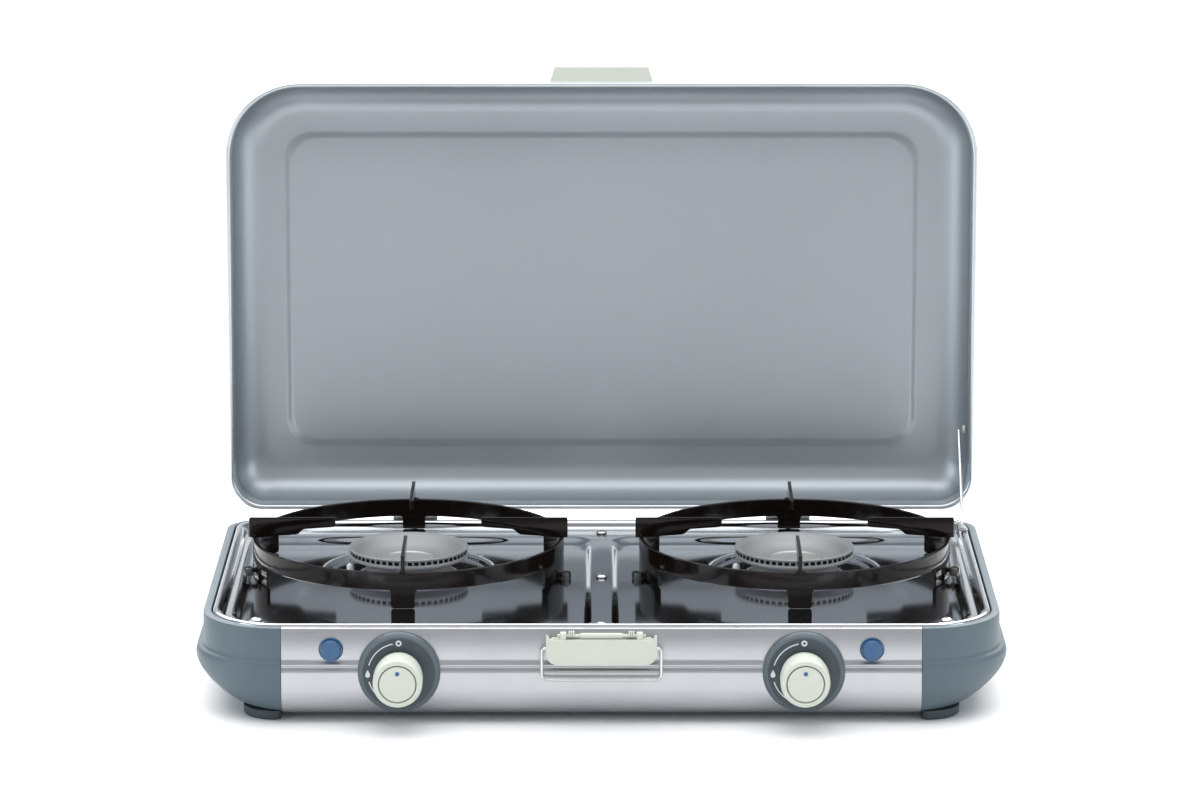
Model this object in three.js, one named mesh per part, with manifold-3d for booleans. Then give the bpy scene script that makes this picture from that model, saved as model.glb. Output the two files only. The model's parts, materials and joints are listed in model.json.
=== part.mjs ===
// Two-burner camping stove with a hinged wind lid, in millimetres, +Z up, front towards -Y.
// The stove's left is -X. The lid stands open; every part is placed as it sits on the open stove.
import * as THREE from "three";
import { mergeVertices } from "three/addons/utils/BufferGeometryUtils.js";
import Module from "manifold-3d";

const wasm = await Module();
wasm.setup();

// ---------------------------------------------------------------- driving dimensions
const GAP = 0.35; // air left between pieces that touch
const BASE_Y = -6.74; // the base's middle, so that the whole open stove is centred on Y = 0

// Base outline, seen from above, and its heights
const HALF_WIDTH = 269.6;
const HALF_DEPTH = 154;
const FRONT_CORNER = 54;
const REAR_CORNER = 23;
const RIM_Z = 66;
const CAP_START_X = 214; // the sheet shell ends here and the end caps begin
const CAP_FLANGE = 5.5; // top edge of shell and caps, outside the hob plate
const CAP_WALL = 2.4;
const SHEET = 1.2;
const SHELL_BOTTOM_Z = 4;
const CAP_BOTTOM_Z = 6.5;
const FOOT_TOP_Z = CAP_BOTTOM_Z - GAP;
const TURN_IN_Z = 20; // below this the walls turn in under the stove
const FOOT = { fromEnd: 28, fromWall: 9, length: 47, corner: 22, smallCorner: 10 };

// Hob plate
const HOB_EDGE = CAP_FLANGE + 0.4;
const SHELF_Z = 63.4;
const WELL_Z = 60;
const PLATE = 1.4;
const WELL_INNER_X = 7.5;
const WELL_OUTER_X = 248;
const WELL_FRONT_Y = -140.5;
const WELL_REAR_Y = 112;
const DISH_RADIUS = 58;
const DISH_DEPTH = 2.6;
const CORNER_SCREW = { x: 232, y: -125 };
const SCREW = { shank: 2, head: 3.8, length: 9 };

// Burners
const BURNER_X = 135.2;
const BURNER_Y = 28.7;
const BURNER_RADIUS = 42;
const BURNER_TOP_Z = 77.5;
const BURNER_OPENING = 31;
const CUP_RADIUS = 27;
const ELECTRODE_OFFSET = 40.7; // left of the burner; a bare hole sits as far to the right
const ELECTRODE_Y = BURNER_Y - 4;

// Pan supports
const RING_RADIUS = 109;
const RING_BAND = 12.5;
const RING_TOP_Z = 85.5;
const STEEL = 2.5;
const ARM_TOP_Z = 97.8;
const ARM_OUTER = 111.5;
const ARM_INNER = 51;
const ARM_STEP = 73.5; // an arm's lower edge steps down here
const LEG_WIDTH = 16.3;
const SKIRT_ANGLE = THREE.MathUtils.degToRad(28);
const LUG_ANGLE = THREE.MathUtils.degToRad(12.7);
const LUG_REACH = RING_RADIUS + 4.6; // from the support's middle to each cradle's

// Controls on the front panel
const CONTROL_Z = 36.4;
const PANEL_Y = -HALF_DEPTH;
const DIAL_FACE = 6.4; // how far each face stands in front of the panel
const KNOB_FACE = 34.3;
const KNOB_BACK = 8;
const KNOB_RADIUS = 16.5;
const STEM_RADIUS = 3;
const BUTTON_X = 180.7;
const BUTTON_Z = 51.5;
const BUTTON_RADIUS = 7;
const BUTTON_FACE = 5.8;

// Latch
const LATCH_PIN = { y: PANEL_Y - 6, z: 62.3 };
const LATCH_PIN_RADIUS = 1.25;
const LEVER_HALF_WIDTH = 37;
const LEVER_BOTTOM_Z = 43;
const LEVER_TOP_Z = 60.4;
const LEVER_FACE_Y = PANEL_Y - 10;
const LATCH_HOOK_X = 20;
const LATCH_LUG_X = 25.5;
const BAIL_PIVOT = { y: PANEL_Y - 8, z: 54 };
const BAIL_HALF_WIDTH = 39.9;
const BAIL_LENGTH = 21.7;
const BAIL_RADIUS = 1;

// Lid and hinge
const LID_HALF_WIDTH = 269.4;
const LID_REAR_Y = 154.65;
const LID_FRONT_Y = -156.85;
const LID_RIM_Z = 67.2;
const LID_DEPTH = 38.7;
const LID_SHEET = 1;
const LID_COVE = 24;
const LID_WALL_INSET = 3.2;
const CATCH = { half: 37, halfTip: 33.5, length: 11.5 };
const PANEL_MARGIN = 41.5; // the middle of the lid is pressed in by PANEL_STEP
const PANEL_STEP = 1.3;
const HINGE = { x: 135, y: 158, z: 69.2 };
const LID_OPEN = THREE.MathUtils.degToRad(91.5);

// Lid stay
const STAY_X = 259;
const STAY_PIVOT = { y: 117, z: 71.5 };
const STAY_RADIUS = 1.1;
const STAY_LENGTH = 80;
const STAY_ANGLE = THREE.MathUtils.degToRad(45.7); // above the horizontal, leaning back
const BUSH_ALONG_LID = 60;
const BUSH_DEPTH = 15;
const BUSH_X = 261.7;

// ---------------------------------------------------------------- materials
const paint = (color, roughness, metalness) =>
  new THREE.MeshStandardMaterial({ color, roughness, metalness });

const FINISH = {
  satinSteel: [0xc9cccf, 0.35, 0.9],
  brightSteel: [0xb4b9be, 0.12, 1],
  greyPlastic: [0x617078, 0.6, 0],
  darkRubber: [0x3d454b, 0.8, 0],
  dialPlastic: [0x4a535b, 0.5, 0],
  ivoryPlastic: [0xe3e5df, 0.4, 0],
  bluePlastic: [0x46739f, 0.35, 0],
  blackEnamel: [0x0d0d0f, 0.12, 0.1],
  castAluminium: [0xbfc4c6, 0.4, 0.85],
  brass: [0xb8924a, 0.35, 0.9],
  ceramic: [0xf2f2ee, 0.3, 0],
  darkCable: [0x222426, 0.7, 0],
  lidAlloy: [0xa7aeb4, 0.4, 0.8],
};

// ---------------------------------------------------------------- solids and geometry helpers
function volumeOf(geometry) {
  const g = geometry.index ? geometry.toNonIndexed() : geometry;
  const p = g.attributes.position;
  const [a, b, c] = [new THREE.Vector3(), new THREE.Vector3(), new THREE.Vector3()];
  let sum = 0;
  for (let i = 0; i < p.count; i += 3) {
    a.fromBufferAttribute(p, i);
    b.fromBufferAttribute(p, i + 1);
    c.fromBufferAttribute(p, i + 2);
    sum += a.dot(b.cross(c)) / 6;
  }
  return sum;
}

// One closed, outward-facing geometry that holds positions only.
function clean(geometry) {
  const bare = geometry.clone();
  for (const name of Object.keys(bare.attributes)) {
    if (name !== "position") bare.deleteAttribute(name);
  }
  const merged = mergeVertices(bare, 1e-3);
  const source = merged.index.array;
  const kept = [];
  const flip = volumeOf(merged) < 0;
  for (let i = 0; i < source.length; i += 3) {
    const [a, b, c] = [source[i], source[i + 1], source[i + 2]];
    if (a === b || b === c || c === a) continue;
    kept.push(a, flip ? c : b, flip ? b : c);
  }
  merged.setIndex(kept);
  return merged;
}

function toSolid(geometry) {
  const g = clean(geometry);
  const mesh = new wasm.Mesh({
    numProp: 3,
    vertProperties: new Float32Array(g.attributes.position.array),
    triVerts: new Uint32Array(g.index.array),
  });
  return new wasm.Manifold(mesh);
}

function toGeometry(body) {
  const mesh = body.getMesh();
  const geometry = new THREE.BufferGeometry();
  geometry.setAttribute("position", new THREE.BufferAttribute(mesh.vertProperties, 3));
  geometry.setIndex(new THREE.BufferAttribute(mesh.triVerts, 1));
  return geometry;
}

const join = (...parts) => toGeometry(parts.map(toSolid).reduce((a, b) => a.add(b)));
const cut = (base, ...tools) =>
  toGeometry(tools.map(toSolid).reduce((a, b) => a.subtract(b), toSolid(base)));
const common = (a, b) => toGeometry(toSolid(a).intersect(toSolid(b)));

function box(x0, x1, y0, y1, z0, z1) {
  return new THREE.BoxGeometry(x1 - x0, y1 - y0, z1 - z0).translate(
    (x0 + x1) / 2,
    (y0 + y1) / 2,
    (z0 + z1) / 2,
  );
}

// A profile of [radius, height] turned round an upright axis.
function latheZ(profile, segments = 40) {
  const points = profile.map(([r, h]) => new THREE.Vector2(r, h));
  return new THREE.LatheGeometry(points, segments).rotateX(Math.PI / 2);
}

// A profile of [radius, distance in front of the panel] turned round an axis that points forward.
function latheForward(profile, x, z, segments = 40) {
  const points = profile.map(([r, d]) => new THREE.Vector2(r, d));
  return new THREE.LatheGeometry(points, segments).rotateX(Math.PI).translate(x, PANEL_Y, z);
}

function rodX(radius, x0, x1, y, z, segments = 16) {
  return new THREE.CylinderGeometry(radius, radius, x1 - x0, segments)
    .rotateZ(Math.PI / 2)
    .translate((x0 + x1) / 2, y, z);
}

function rodZ(radius, z0, z1, x, y, segments = 16) {
  return new THREE.CylinderGeometry(radius, radius, z1 - z0, segments)
    .rotateX(Math.PI / 2)
    .translate(x, y, (z0 + z1) / 2);
}

// A closed [y, z] outline pushed along X.
function prismX(outline, x0, x1) {
  const shape = new THREE.Shape(outline.map(([y, z]) => new THREE.Vector2(y, z)));
  const geometry = new THREE.ExtrudeGeometry(shape, { depth: x1 - x0, bevelEnabled: false });
  const axes = new THREE.Matrix4().makeBasis(
    new THREE.Vector3(0, 1, 0),
    new THREE.Vector3(0, 0, 1),
    new THREE.Vector3(1, 0, 0),
  );
  return geometry.applyMatrix4(axes).translate(x0, 0, 0);
}

// A closed [x, z] outline pushed along Y.
function prismY(outline, y0, y1) {
  const shape = new THREE.Shape(outline.map(([x, z]) => new THREE.Vector2(x, z)));
  const geometry = new THREE.ExtrudeGeometry(shape, { depth: y1 - y0, bevelEnabled: false });
  return geometry.rotateX(Math.PI / 2).translate(0, y1, 0);
}

// A round wire along a smooth path of [x, y, z] points.
function wire(points, radius, steps, sides = 8) {
  const path = new THREE.CatmullRomCurve3(points.map((p) => new THREE.Vector3(...p)), false, "centripetal");
  const circle = Array.from({ length: sides }, (_, i) => {
    const a = (2 * Math.PI * i) / sides;
    return new THREE.Vector2(radius * Math.cos(a), radius * Math.sin(a));
  });
  return new THREE.ExtrudeGeometry(new THREE.Shape(circle), { steps, extrudePath: path });
}

// One level ring of a loft: a rectangle with round corners, counterclockwise from above.
function roundedRing({ x0, x1, y0, y1, z, rearRight, rearLeft, frontLeft, frontRight }, segments) {
  const corners = [
    [x1, y1, -1, -1, rearRight],
    [x0, y1, 1, -1, rearLeft],
    [x0, y0, 1, 1, frontLeft],
    [x1, y0, -1, 1, frontRight],
  ];
  return corners.flatMap(([x, y, sx, sy, wanted], corner) => {
    const radius = Math.max(wanted, 0.5);
    return Array.from({ length: segments + 1 }, (_, i) => {
      const a = (Math.PI / 2) * (corner + i / segments);
      return [x + sx * radius + radius * Math.cos(a), y + sy * radius + radius * Math.sin(a), z];
    });
  });
}

// A closed body through rings of equal point counts, with flat ends.
function loft(rings) {
  const count = rings[0].length;
  const positions = rings.flat(2);
  const index = [];
  for (let r = 0; r + 1 < rings.length; r++) {
    for (let i = 0; i < count; i++) {
      const [a, b] = [r * count + i, r * count + ((i + 1) % count)];
      index.push(a, b, b + count, a, b + count, a + count);
    }
  }
  const addEnd = (ring, first, reverse) => {
    const middle = [0, 1, 2].map((k) => ring.reduce((s, p) => s + p[k], 0) / count);
    const centre = positions.length / 3;
    positions.push(...middle);
    for (let i = 0; i < count; i++) {
      const [a, b] = [first + i, first + ((i + 1) % count)];
      index.push(...(reverse ? [b, a, centre] : [a, b, centre]));
    }
  };
  addEnd(rings[0], 0, true);
  addEnd(rings.at(-1), (rings.length - 1) * count, false);
  const geometry = new THREE.BufferGeometry();
  geometry.setAttribute("position", new THREE.Float32BufferAttribute(positions, 3));
  geometry.setIndex(index);
  return geometry;
}

// A ring of the base outline, moved out by side at the ends and by front at the front and rear.
function baseRing(side, front, z, segments = 6) {
  const mean = (side + front) / 2;
  return roundedRing(
    {
      x0: -HALF_WIDTH - side,
      x1: HALF_WIDTH + side,
      y0: -HALF_DEPTH - front,
      y1: HALF_DEPTH + front,
      z,
      rearRight: REAR_CORNER + Math.max(mean, -6),
      rearLeft: REAR_CORNER + Math.max(mean, -6),
      frontLeft: FRONT_CORNER + mean,
      frontRight: FRONT_CORNER + mean,
    },
    segments,
  );
}

// ---------------------------------------------------------------- base
// Front and rear wall, seen from the side: [how far out, height].
const WALL_PROFILE = [
  [0, RIM_Z],
  [0, 42.6],
  [1.4, 41.4],
  [1.4, 40],
  [0.8, 38.8],
  [2.5, 37],
  [2.5, 22],
  [1.2, 14.5],
  [-3, 8.6],
  [-9, 5],
  [-15, SHELL_BOTTOM_Z],
];

function bodyShell() {
  const outer = WALL_PROFILE.map(([out, z]) => [-HALF_DEPTH - out, z]);
  const inner = WALL_PROFILE.map(([out, z]) => [
    -HALF_DEPTH - out + SHEET,
    z + (z < TURN_IN_Z ? SHEET * 0.8 : 0),
  ]);
  inner[0] = [-HALF_DEPTH + SHEET, RIM_Z - SHEET];
  const flange = [
    [-HALF_DEPTH + CAP_FLANGE, RIM_Z - SHEET],
    [-HALF_DEPTH + CAP_FLANGE, RIM_Z],
  ];
  const mirror = (line) => line.map(([y, z]) => [-y, z]).reverse();
  const outline = [
    ...outer,
    ...mirror(outer),
    ...mirror(flange),
    ...mirror(inner).reverse(),
    ...[...inner].reverse(),
    ...flange,
  ];
  const holes = [-1, 1].flatMap((side) => [
    latheForward([[0, -6], [5, -6], [5, 6], [0, 6]], side * BURNER_X, CONTROL_Z, 16),
    latheForward([[0, -6], [8.2, -6], [8.2, 4], [0, 4]], side * BUTTON_X, BUTTON_Z, 24),
  ]);
  const inletHole = new THREE.CylinderGeometry(6, 6, 12, 16).translate(INLET.x, HALF_DEPTH, INLET.z);
  return cut(prismX(outline, -CAP_START_X, CAP_START_X), ...holes, inletHole);
}

// End cap wall: [out at the end, out at the front and rear, height], from the top down.
const CAP_PROFILE = [
  [0, 0, RIM_Z],
  [0, 0, 43.4],
  [3.6, 1.4, 41.8],
  [5.3, 2.2, 39.4],
  [5, 2.5, 35],
  [2.4, 2.5, 28.5],
  [-3.4, 2.4, 22],
  [-12.2, 0.8, 14.5],
  [-21, -3, 9],
  [-27, -8, CAP_BOTTOM_Z],
];

function endCap(side) {
  const outer = loft(CAP_PROFILE.map(([x, y, z]) => baseRing(x, y, z)).reverse());
  const hollowRings = CAP_PROFILE.map(([x, y, z]) => {
    const top = z === RIM_Z ? RIM_Z - CAP_WALL : z;
    const floor = z === CAP_BOTTOM_Z ? CAP_BOTTOM_Z + CAP_WALL : top + (z < TURN_IN_Z ? CAP_WALL / 2 : 0);
    return baseRing(x - CAP_WALL, y - CAP_WALL, floor);
  });
  const hollow = loft(hollowRings.reverse());
  const mouth = loft([40, RIM_Z + 5].map((z) => baseRing(-CAP_FLANGE, -CAP_FLANGE, z)));
  const start = CAP_START_X + GAP;
  const half = side < 0 ? box(-400, -start, -300, 300, -10, 200) : box(start, 400, -300, 300, -10, 200);
  return common(cut(outer, hollow, mouth), half);
}

function foot(side, end) {
  const [x0, x1] = [CAP_START_X + 1, HALF_WIDTH - FOOT.fromEnd];
  const near = HALF_DEPTH - FOOT.fromWall;
  const far = near - FOOT.length;
  const bigCorner = end < 0 ? FOOT.corner : FOOT.smallCorner;
  const ring = (inset, z) => {
    const [left, right] = side < 0 ? [-x1 + inset, -x0 - inset] : [x0 + inset, x1 - inset];
    const [front, rear] = end < 0 ? [-near + inset, -far - inset] : [far + inset, near - inset];
    const corner = (sx, sy) => (sx === side && sy === end ? bigCorner : 4);
    return roundedRing(
      {
        x0: left,
        x1: right,
        y0: front,
        y1: rear,
        z,
        rearRight: corner(1, 1),
        rearLeft: corner(-1, 1),
        frontLeft: corner(-1, -1),
        frontRight: corner(1, -1),
      },
      4,
    );
  };
  return loft([ring(1.2, 0), ring(0, 1.5), ring(0, FOOT_TOP_Z)]);
}

// ---------------------------------------------------------------- hob plate
// The plate's top, from its edge inwards: [in from the base outline at the ends, at the front and
// rear, height].
const HOB_PROFILE = [
  [HOB_EDGE, HOB_EDGE, 64.6],
  [7.4, 7, 66.6],
  [10.2, 8.6, 67],
  [13, 10.2, 65.8],
  [15.4, 11.6, 62.6],
  [17.8, 13, SHELF_Z],
];

function wellRing(side, inset, z) {
  const [near, far] = [WELL_INNER_X + inset, WELL_OUTER_X - inset];
  const [inner, outerFront, outerRear] = [15, 34, 18];
  const right = side > 0;
  return roundedRing(
    {
      x0: right ? near : -far,
      x1: right ? far : -near,
      y0: WELL_FRONT_Y + inset,
      y1: WELL_REAR_Y - inset,
      z,
      rearRight: right ? outerRear : inner,
      rearLeft: right ? inner : outerRear,
      frontLeft: right ? inner : outerFront,
      frontRight: right ? outerFront : inner,
    },
    4,
  );
}

// Everything under the plate's top face, lowered by drop and grown at its edge.
function underHob(drop, grow) {
  const rings = HOB_PROFILE.map(([side, front, z], i) => {
    const out = i === 0 ? grow : 0;
    return baseRing(out - side, out - front, z - drop, 4);
  });
  const bottom = baseRing(-HOB_EDGE + grow, -HOB_EDGE + grow, 50 - drop, 4);
  const block = loft([bottom, ...rings]);
  const hollows = [-1, 1].flatMap((side) => [
    loft([wellRing(side, 2.4, WELL_Z - drop), wellRing(side, 0, SHELF_Z - drop), wellRing(side, 0, 80)]),
    latheZ(
      [
        [0, WELL_Z - DISH_DEPTH - drop],
        [DISH_RADIUS - 3, WELL_Z - DISH_DEPTH - drop],
        [DISH_RADIUS, WELL_Z - drop],
        [DISH_RADIUS, 80],
        [0, 80],
      ],
      28,
    ).translate(side * BURNER_X, BURNER_Y, 0),
  ]);
  const padRadius = drop > 0 ? 5.2 : 6;
  const pads = [-1, 1].map((side) =>
    rodZ(padRadius, 55, SHELF_Z - drop, side * CORNER_SCREW.x, CORNER_SCREW.y, 12),
  );
  return join(cut(block, ...hollows), ...pads);
}

const screwSeats = [
  ["rear", 0, 122],
  ["middle", 0, -6],
  ["front", 0, -136.4],
  ["corner_left", -CORNER_SCREW.x, CORNER_SCREW.y],
  ["corner_right", CORNER_SCREW.x, CORNER_SCREW.y],
];

// The two upright cheeks that hold a support's side lug.
function cradle(side, out) {
  const angle = out > 0 ? -LUG_ANGLE : Math.PI + LUG_ANGLE;
  const onShelf = out === side;
  const base = onShelf ? SHELF_Z : WELL_Z;
  const seat = base - 1;
  const cheeks = [-1, 1].map((sign) => box(-2.6, 2.6, sign * 3.1 - 0.6, sign * 3.1 + 0.6, seat, base + 5.2));
  const floor = box(-2.6, 2.6, -3.7, 3.7, seat, base + 0.5);
  return join(floor, ...cheeks)
    .rotateZ(angle)
    .translate(side * BURNER_X + LUG_REACH * Math.cos(angle), BURNER_Y + LUG_REACH * Math.sin(angle), 0);
}

function hobPlate() {
  const sheet = cut(underHob(0, 0), underHob(PLATE, 1));
  const holes = [-1, 1].flatMap((side) => [
    rodZ(BURNER_OPENING, 40, 80, side * BURNER_X, BURNER_Y, 28),
    rodZ(4.5, 40, 80, side * BURNER_X - ELECTRODE_OFFSET, ELECTRODE_Y, 8),
    rodZ(5, 40, 80, side * BURNER_X + ELECTRODE_OFFSET, ELECTRODE_Y, 8),
  ]);
  const screwHoles = screwSeats.map(([, x, y]) => rodZ(SCREW.shank + 0.7, 50, 80, x, y, 8));
  const cradles = [-1, 1].flatMap((side) => [cradle(side, -1), cradle(side, 1)]);
  return join(cut(sheet, ...holes, ...screwHoles), ...cradles);
}

function hobScrew(x, y) {
  const seat = SHELF_Z + GAP;
  return latheZ(
    [
      [0, seat - SCREW.length],
      [SCREW.shank, seat - SCREW.length],
      [SCREW.shank, seat],
      [SCREW.head, seat],
      [SCREW.head - 0.2, seat + 1.2],
      [0, seat + 2.2],
    ],
    12,
  ).translate(x, y, 0);
}

// ---------------------------------------------------------------- burners and gas parts
function burnerHead(side) {
  return latheZ(
    [
      [30, 66],
      [30, 50],
      [28.4, 50],
      [28.4, 58],
      [19.6, 63],
      [17.6, 61.5],
      [17.6, 66.2],
      [26, 66.9],
      [33.5, 70.8],
      [37.6, 75.4],
      [41.2, BURNER_TOP_Z],
      [BURNER_RADIUS, 76.8],
      [40.6, 75.4],
      [40.6, 73],
      [41.6, 70.6],
      [30, 66],
    ],
    30,
  ).translate(side * BURNER_X, BURNER_Y, 0);
}

function burnerDisc(side) {
  return latheZ(
    [
      [0, 62.4],
      [17.2, 62.4],
      [17.2, 66.8],
      [18.4, 67.3],
      [17.2, 69],
      [0, 69.4],
    ],
    24,
  ).translate(side * BURNER_X, BURNER_Y, 0);
}

function burnerCup(side) {
  const [top, bottom] = [57.5, 30];
  return latheZ(
    [
      [0, bottom],
      [CUP_RADIUS - 3, bottom],
      [CUP_RADIUS, bottom + 4],
      [CUP_RADIUS, top],
      [CUP_RADIUS - 1.5, top],
      [CUP_RADIUS - 1.5, bottom + 5],
      [CUP_RADIUS - 4, bottom + 1.5],
      [0, bottom + 1.5],
    ],
    22,
  ).translate(side * BURNER_X, BURNER_Y, 0);
}

const VALVE_BACK = -42; // distances in front of the panel, so these are behind it
const INJECTOR_BACK = VALVE_BACK - 9;
const MANIFOLD = { y: PANEL_Y + 24, z: 22, radius: 4 };
const INLET = { x: 205, z: 22 };

function gasValve(side) {
  const body = latheForward(
    [[0, VALVE_BACK], [7, VALVE_BACK], [9.5, -38], [9.5, -10], [6.5, -9], [6.5, -4], [0, -4]],
    side * BURNER_X,
    CONTROL_Z,
    20,
  );
  const union = rodZ(5.5, MANIFOLD.z + MANIFOLD.radius + GAP, CONTROL_Z, side * BURNER_X, MANIFOLD.y, 12);
  return join(body, union);
}

function injector(side) {
  const back = VALVE_BACK - GAP;
  return latheForward(
    [[0, INJECTOR_BACK], [2.4, INJECTOR_BACK], [3.4, -47], [5, -46.6], [5, back], [0, back]],
    side * BURNER_X,
    CONTROL_Z,
    12,
  );
}

function mixingTube(side) {
  const start = PANEL_Y - INJECTOR_BACK + 2;
  const length = BURNER_Y - CUP_RADIUS - 0.8 - start;
  const profile = [
    [6, 0],
    [9.5, 0],
    [9.5, 6],
    [8, 10],
    [8, length],
    [6.5, length],
    [6.5, 9],
    [6, 6],
    [6, 0],
  ].map(([r, h]) => new THREE.Vector2(r, h));
  return new THREE.LatheGeometry(profile, 12).translate(side * BURNER_X, start, CONTROL_Z);
}

function gasManifold() {
  const [left, bend] = [-BURNER_X - 14, 10];
  const rear = HALF_DEPTH - 12;
  const points = [
    [left, MANIFOLD.y, MANIFOLD.z],
    [0, MANIFOLD.y, MANIFOLD.z],
    [INLET.x - 30, MANIFOLD.y, MANIFOLD.z],
    [INLET.x - bend, MANIFOLD.y, MANIFOLD.z],
    [INLET.x - 2.5, MANIFOLD.y + 2.5, MANIFOLD.z],
    [INLET.x, MANIFOLD.y + bend, MANIFOLD.z],
    [INLET.x, MANIFOLD.y + 30, MANIFOLD.z],
    [INLET.x, 0, MANIFOLD.z],
    [INLET.x, rear, MANIFOLD.z],
  ];
  return wire(points, MANIFOLD.radius, 22, 8);
}

function gasInlet() {
  const rear = HALF_DEPTH - 12 + GAP;
  const profile = [
    [0, rear],
    [5.5, rear],
    [5.5, HALF_DEPTH + 3.2],
    [8, HALF_DEPTH + 3.2],
    [8, HALF_DEPTH + 8],
    [5.8, HALF_DEPTH + 8],
    [5.8, HALF_DEPTH + 19],
    [0, HALF_DEPTH + 19],
  ].map(([r, h]) => new THREE.Vector2(r, h));
  return new THREE.LatheGeometry(profile, 16).translate(INLET.x, 0, INLET.z);
}

const electrodeAt = (side) => [side * BURNER_X - ELECTRODE_OFFSET, ELECTRODE_Y];

function sparkElectrode(side) {
  const [x, y] = electrodeAt(side);
  return latheZ(
    [[0, 40], [2.6, 40], [2.6, 63.8], [1.8, 65], [0.6, 65.2], [0.6, 70], [0, 70]],
    12,
  ).translate(x, y, 0);
}

function piezoIgniter(side) {
  return latheForward(
    [
      [0, -34],
      [6.2, -34],
      [6.2, -12],
      [7.9, -12],
      [7.9, GAP],
      [8.8, GAP],
      [8.6, 1.4],
      [7.4, 1.4],
      [7.4, -10],
      [0, -10],
    ],
    side * BUTTON_X,
    BUTTON_Z,
    18,
  );
}

function ignitionLead(side) {
  const [x, y] = electrodeAt(side);
  const start = [side * BUTTON_X, PANEL_Y + 34 + GAP, BUTTON_Z];
  const [across, low] = [x - start[0], 18];
  const path = [
    start,
    [start[0], start[1] + 8, start[2] - 3],
    [start[0] + 0.2 * across, start[1] + 30, low + 4],
    [start[0] + 0.6 * across, y - 60, low],
    [x, y - 20, low],
    [x, y - 3, low + 3],
    [x, y, low + 10],
    [x, y, 40 - GAP],
  ];
  return wire(path, 1.3, 16, 5);
}

// ---------------------------------------------------------------- controls
function dialPlate(side) {
  const disc = latheForward(
    [[0, -1], [27.65, -1], [27.65, 3.4], [26.6, 4.6], [24.8, DIAL_FACE], [0, DIAL_FACE]],
    side * BURNER_X,
    CONTROL_Z,
    32,
  );
  const outline = WALL_PROFILE.map(([out, z]) => [PANEL_Y - out - GAP, z]);
  const panel = prismX([...outline, [PANEL_Y + 30, SHELL_BOTTOM_Z], [PANEL_Y + 30, RIM_Z]], -300, 300);
  const hole = latheForward([[0, -6], [5, -6], [5, 20], [0, 20]], side * BURNER_X, CONTROL_Z, 16);
  return cut(disc, panel, hole);
}

// Turning parts are drawn round their own axis, facing forward, and placed by their group.
function turned(profile, segments) {
  const points = profile.map(([r, d]) => new THREE.Vector2(r, d));
  return new THREE.LatheGeometry(points, segments).rotateX(Math.PI);
}

function knobBody() {
  return turned(
    [
      [4, KNOB_BACK],
      [14.4, KNOB_BACK],
      [15.6, 11],
      [KNOB_RADIUS, 15],
      [KNOB_RADIUS, 31.5],
      [15.8, 33.4],
      [14.4, KNOB_FACE],
      [12.9, KNOB_FACE],
      [12.4, KNOB_FACE - 3],
      [4, KNOB_FACE - 3],
      [4, KNOB_BACK],
    ],
    24,
  );
}

const knobInsert = () =>
  turned([[0, KNOB_FACE - 2.6], [12, KNOB_FACE - 2.6], [12.1, KNOB_FACE], [0, KNOB_FACE]], 24);

const valveStem = () => turned([[0, -3.6], [STEM_RADIUS, -3.6], [STEM_RADIUS, 31], [0, 31]], 12);

const igniterButton = () =>
  turned(
    [[0, -5.5], [BUTTON_RADIUS, -5.5], [BUTTON_RADIUS, 5], [6.4, BUTTON_FACE], [0, BUTTON_FACE]],
    20,
  );

// ---------------------------------------------------------------- latch, drawn at rest
function latchBracket() {
  const back = PANEL_Y - GAP;
  const half = LATCH_HOOK_X + 3;
  const plate = box(-half, half, back - SHEET, back, 49, 59);
  const hook = (x) => {
    const [y, z] = [LATCH_PIN.y, LATCH_PIN.z];
    const profile = [
      [back, 56],
      [back, 62],
      [y + 2, z + 2.9],
      [y - 1.2, z + 2.7],
      [y - 2.7, z + 0.9],
      [y - 1.8, z + 0.3],
      [y - 0.9, z + 1.7],
      [y + 1.2, z + 1.8],
      [y + 2, z + 0.4],
      [back - SHEET, 58],
      [back - SHEET, 56],
    ];
    return prismX(profile, x - 2, x + 2);
  };
  return join(plate, hook(-LATCH_HOOK_X), hook(LATCH_HOOK_X));
}

const latchPin = () => rodX(LATCH_PIN_RADIUS, -29, 29, LATCH_PIN.y, LATCH_PIN.z, 12);

function latchLever() {
  const [w, corner] = [LEVER_HALF_WIDTH, 9];
  const bottomCorner = (sign) =>
    Array.from({ length: 5 }, (_, i) => {
      const a = (Math.PI / 2) * (i / 4);
      const out = corner * Math.cos(a);
      return [sign * (w - corner + out), LEVER_BOTTOM_Z + corner - corner * Math.sin(a)];
    });
  const outline = [
    [w - 3, LEVER_TOP_Z],
    [w - 0.4, 63],
    [w, 62],
    ...bottomCorner(1),
    ...bottomCorner(-1).reverse(),
    [-w, 62],
    [-w + 0.4, 63],
    [-w + 3, LEVER_TOP_Z],
  ];
  const plate = prismY(outline, LEVER_FACE_Y, LEVER_FACE_Y + 2);
  const flanges = [-1, 1].map((s) =>
    box(...[s * w, s * (w - 1.8)].sort((a, b) => a - b), LEVER_FACE_Y + 1, PANEL_Y - 4, 50, 60),
  );
  const lugs = [-1, 1].flatMap((s) => {
    const [x0, x1] = [s * LATCH_LUG_X - 2, s * LATCH_LUG_X + 2];
    return [
      rodX(2.9, x0, x1, LATCH_PIN.y, LATCH_PIN.z, 14),
      box(x0, x1, LEVER_FACE_Y + 1, LATCH_PIN.y, 57.5, LATCH_PIN.z),
    ];
  });
  const bores = [
    rodX(1.7, -31, 31, LATCH_PIN.y, LATCH_PIN.z, 12),
    rodX(1.45, -50, -30, BAIL_PIVOT.y, BAIL_PIVOT.z, 10),
    rodX(1.45, 30, 50, BAIL_PIVOT.y, BAIL_PIVOT.z, 10),
  ];
  return cut(join(plate, ...flanges, ...lugs), ...bores);
}

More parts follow.
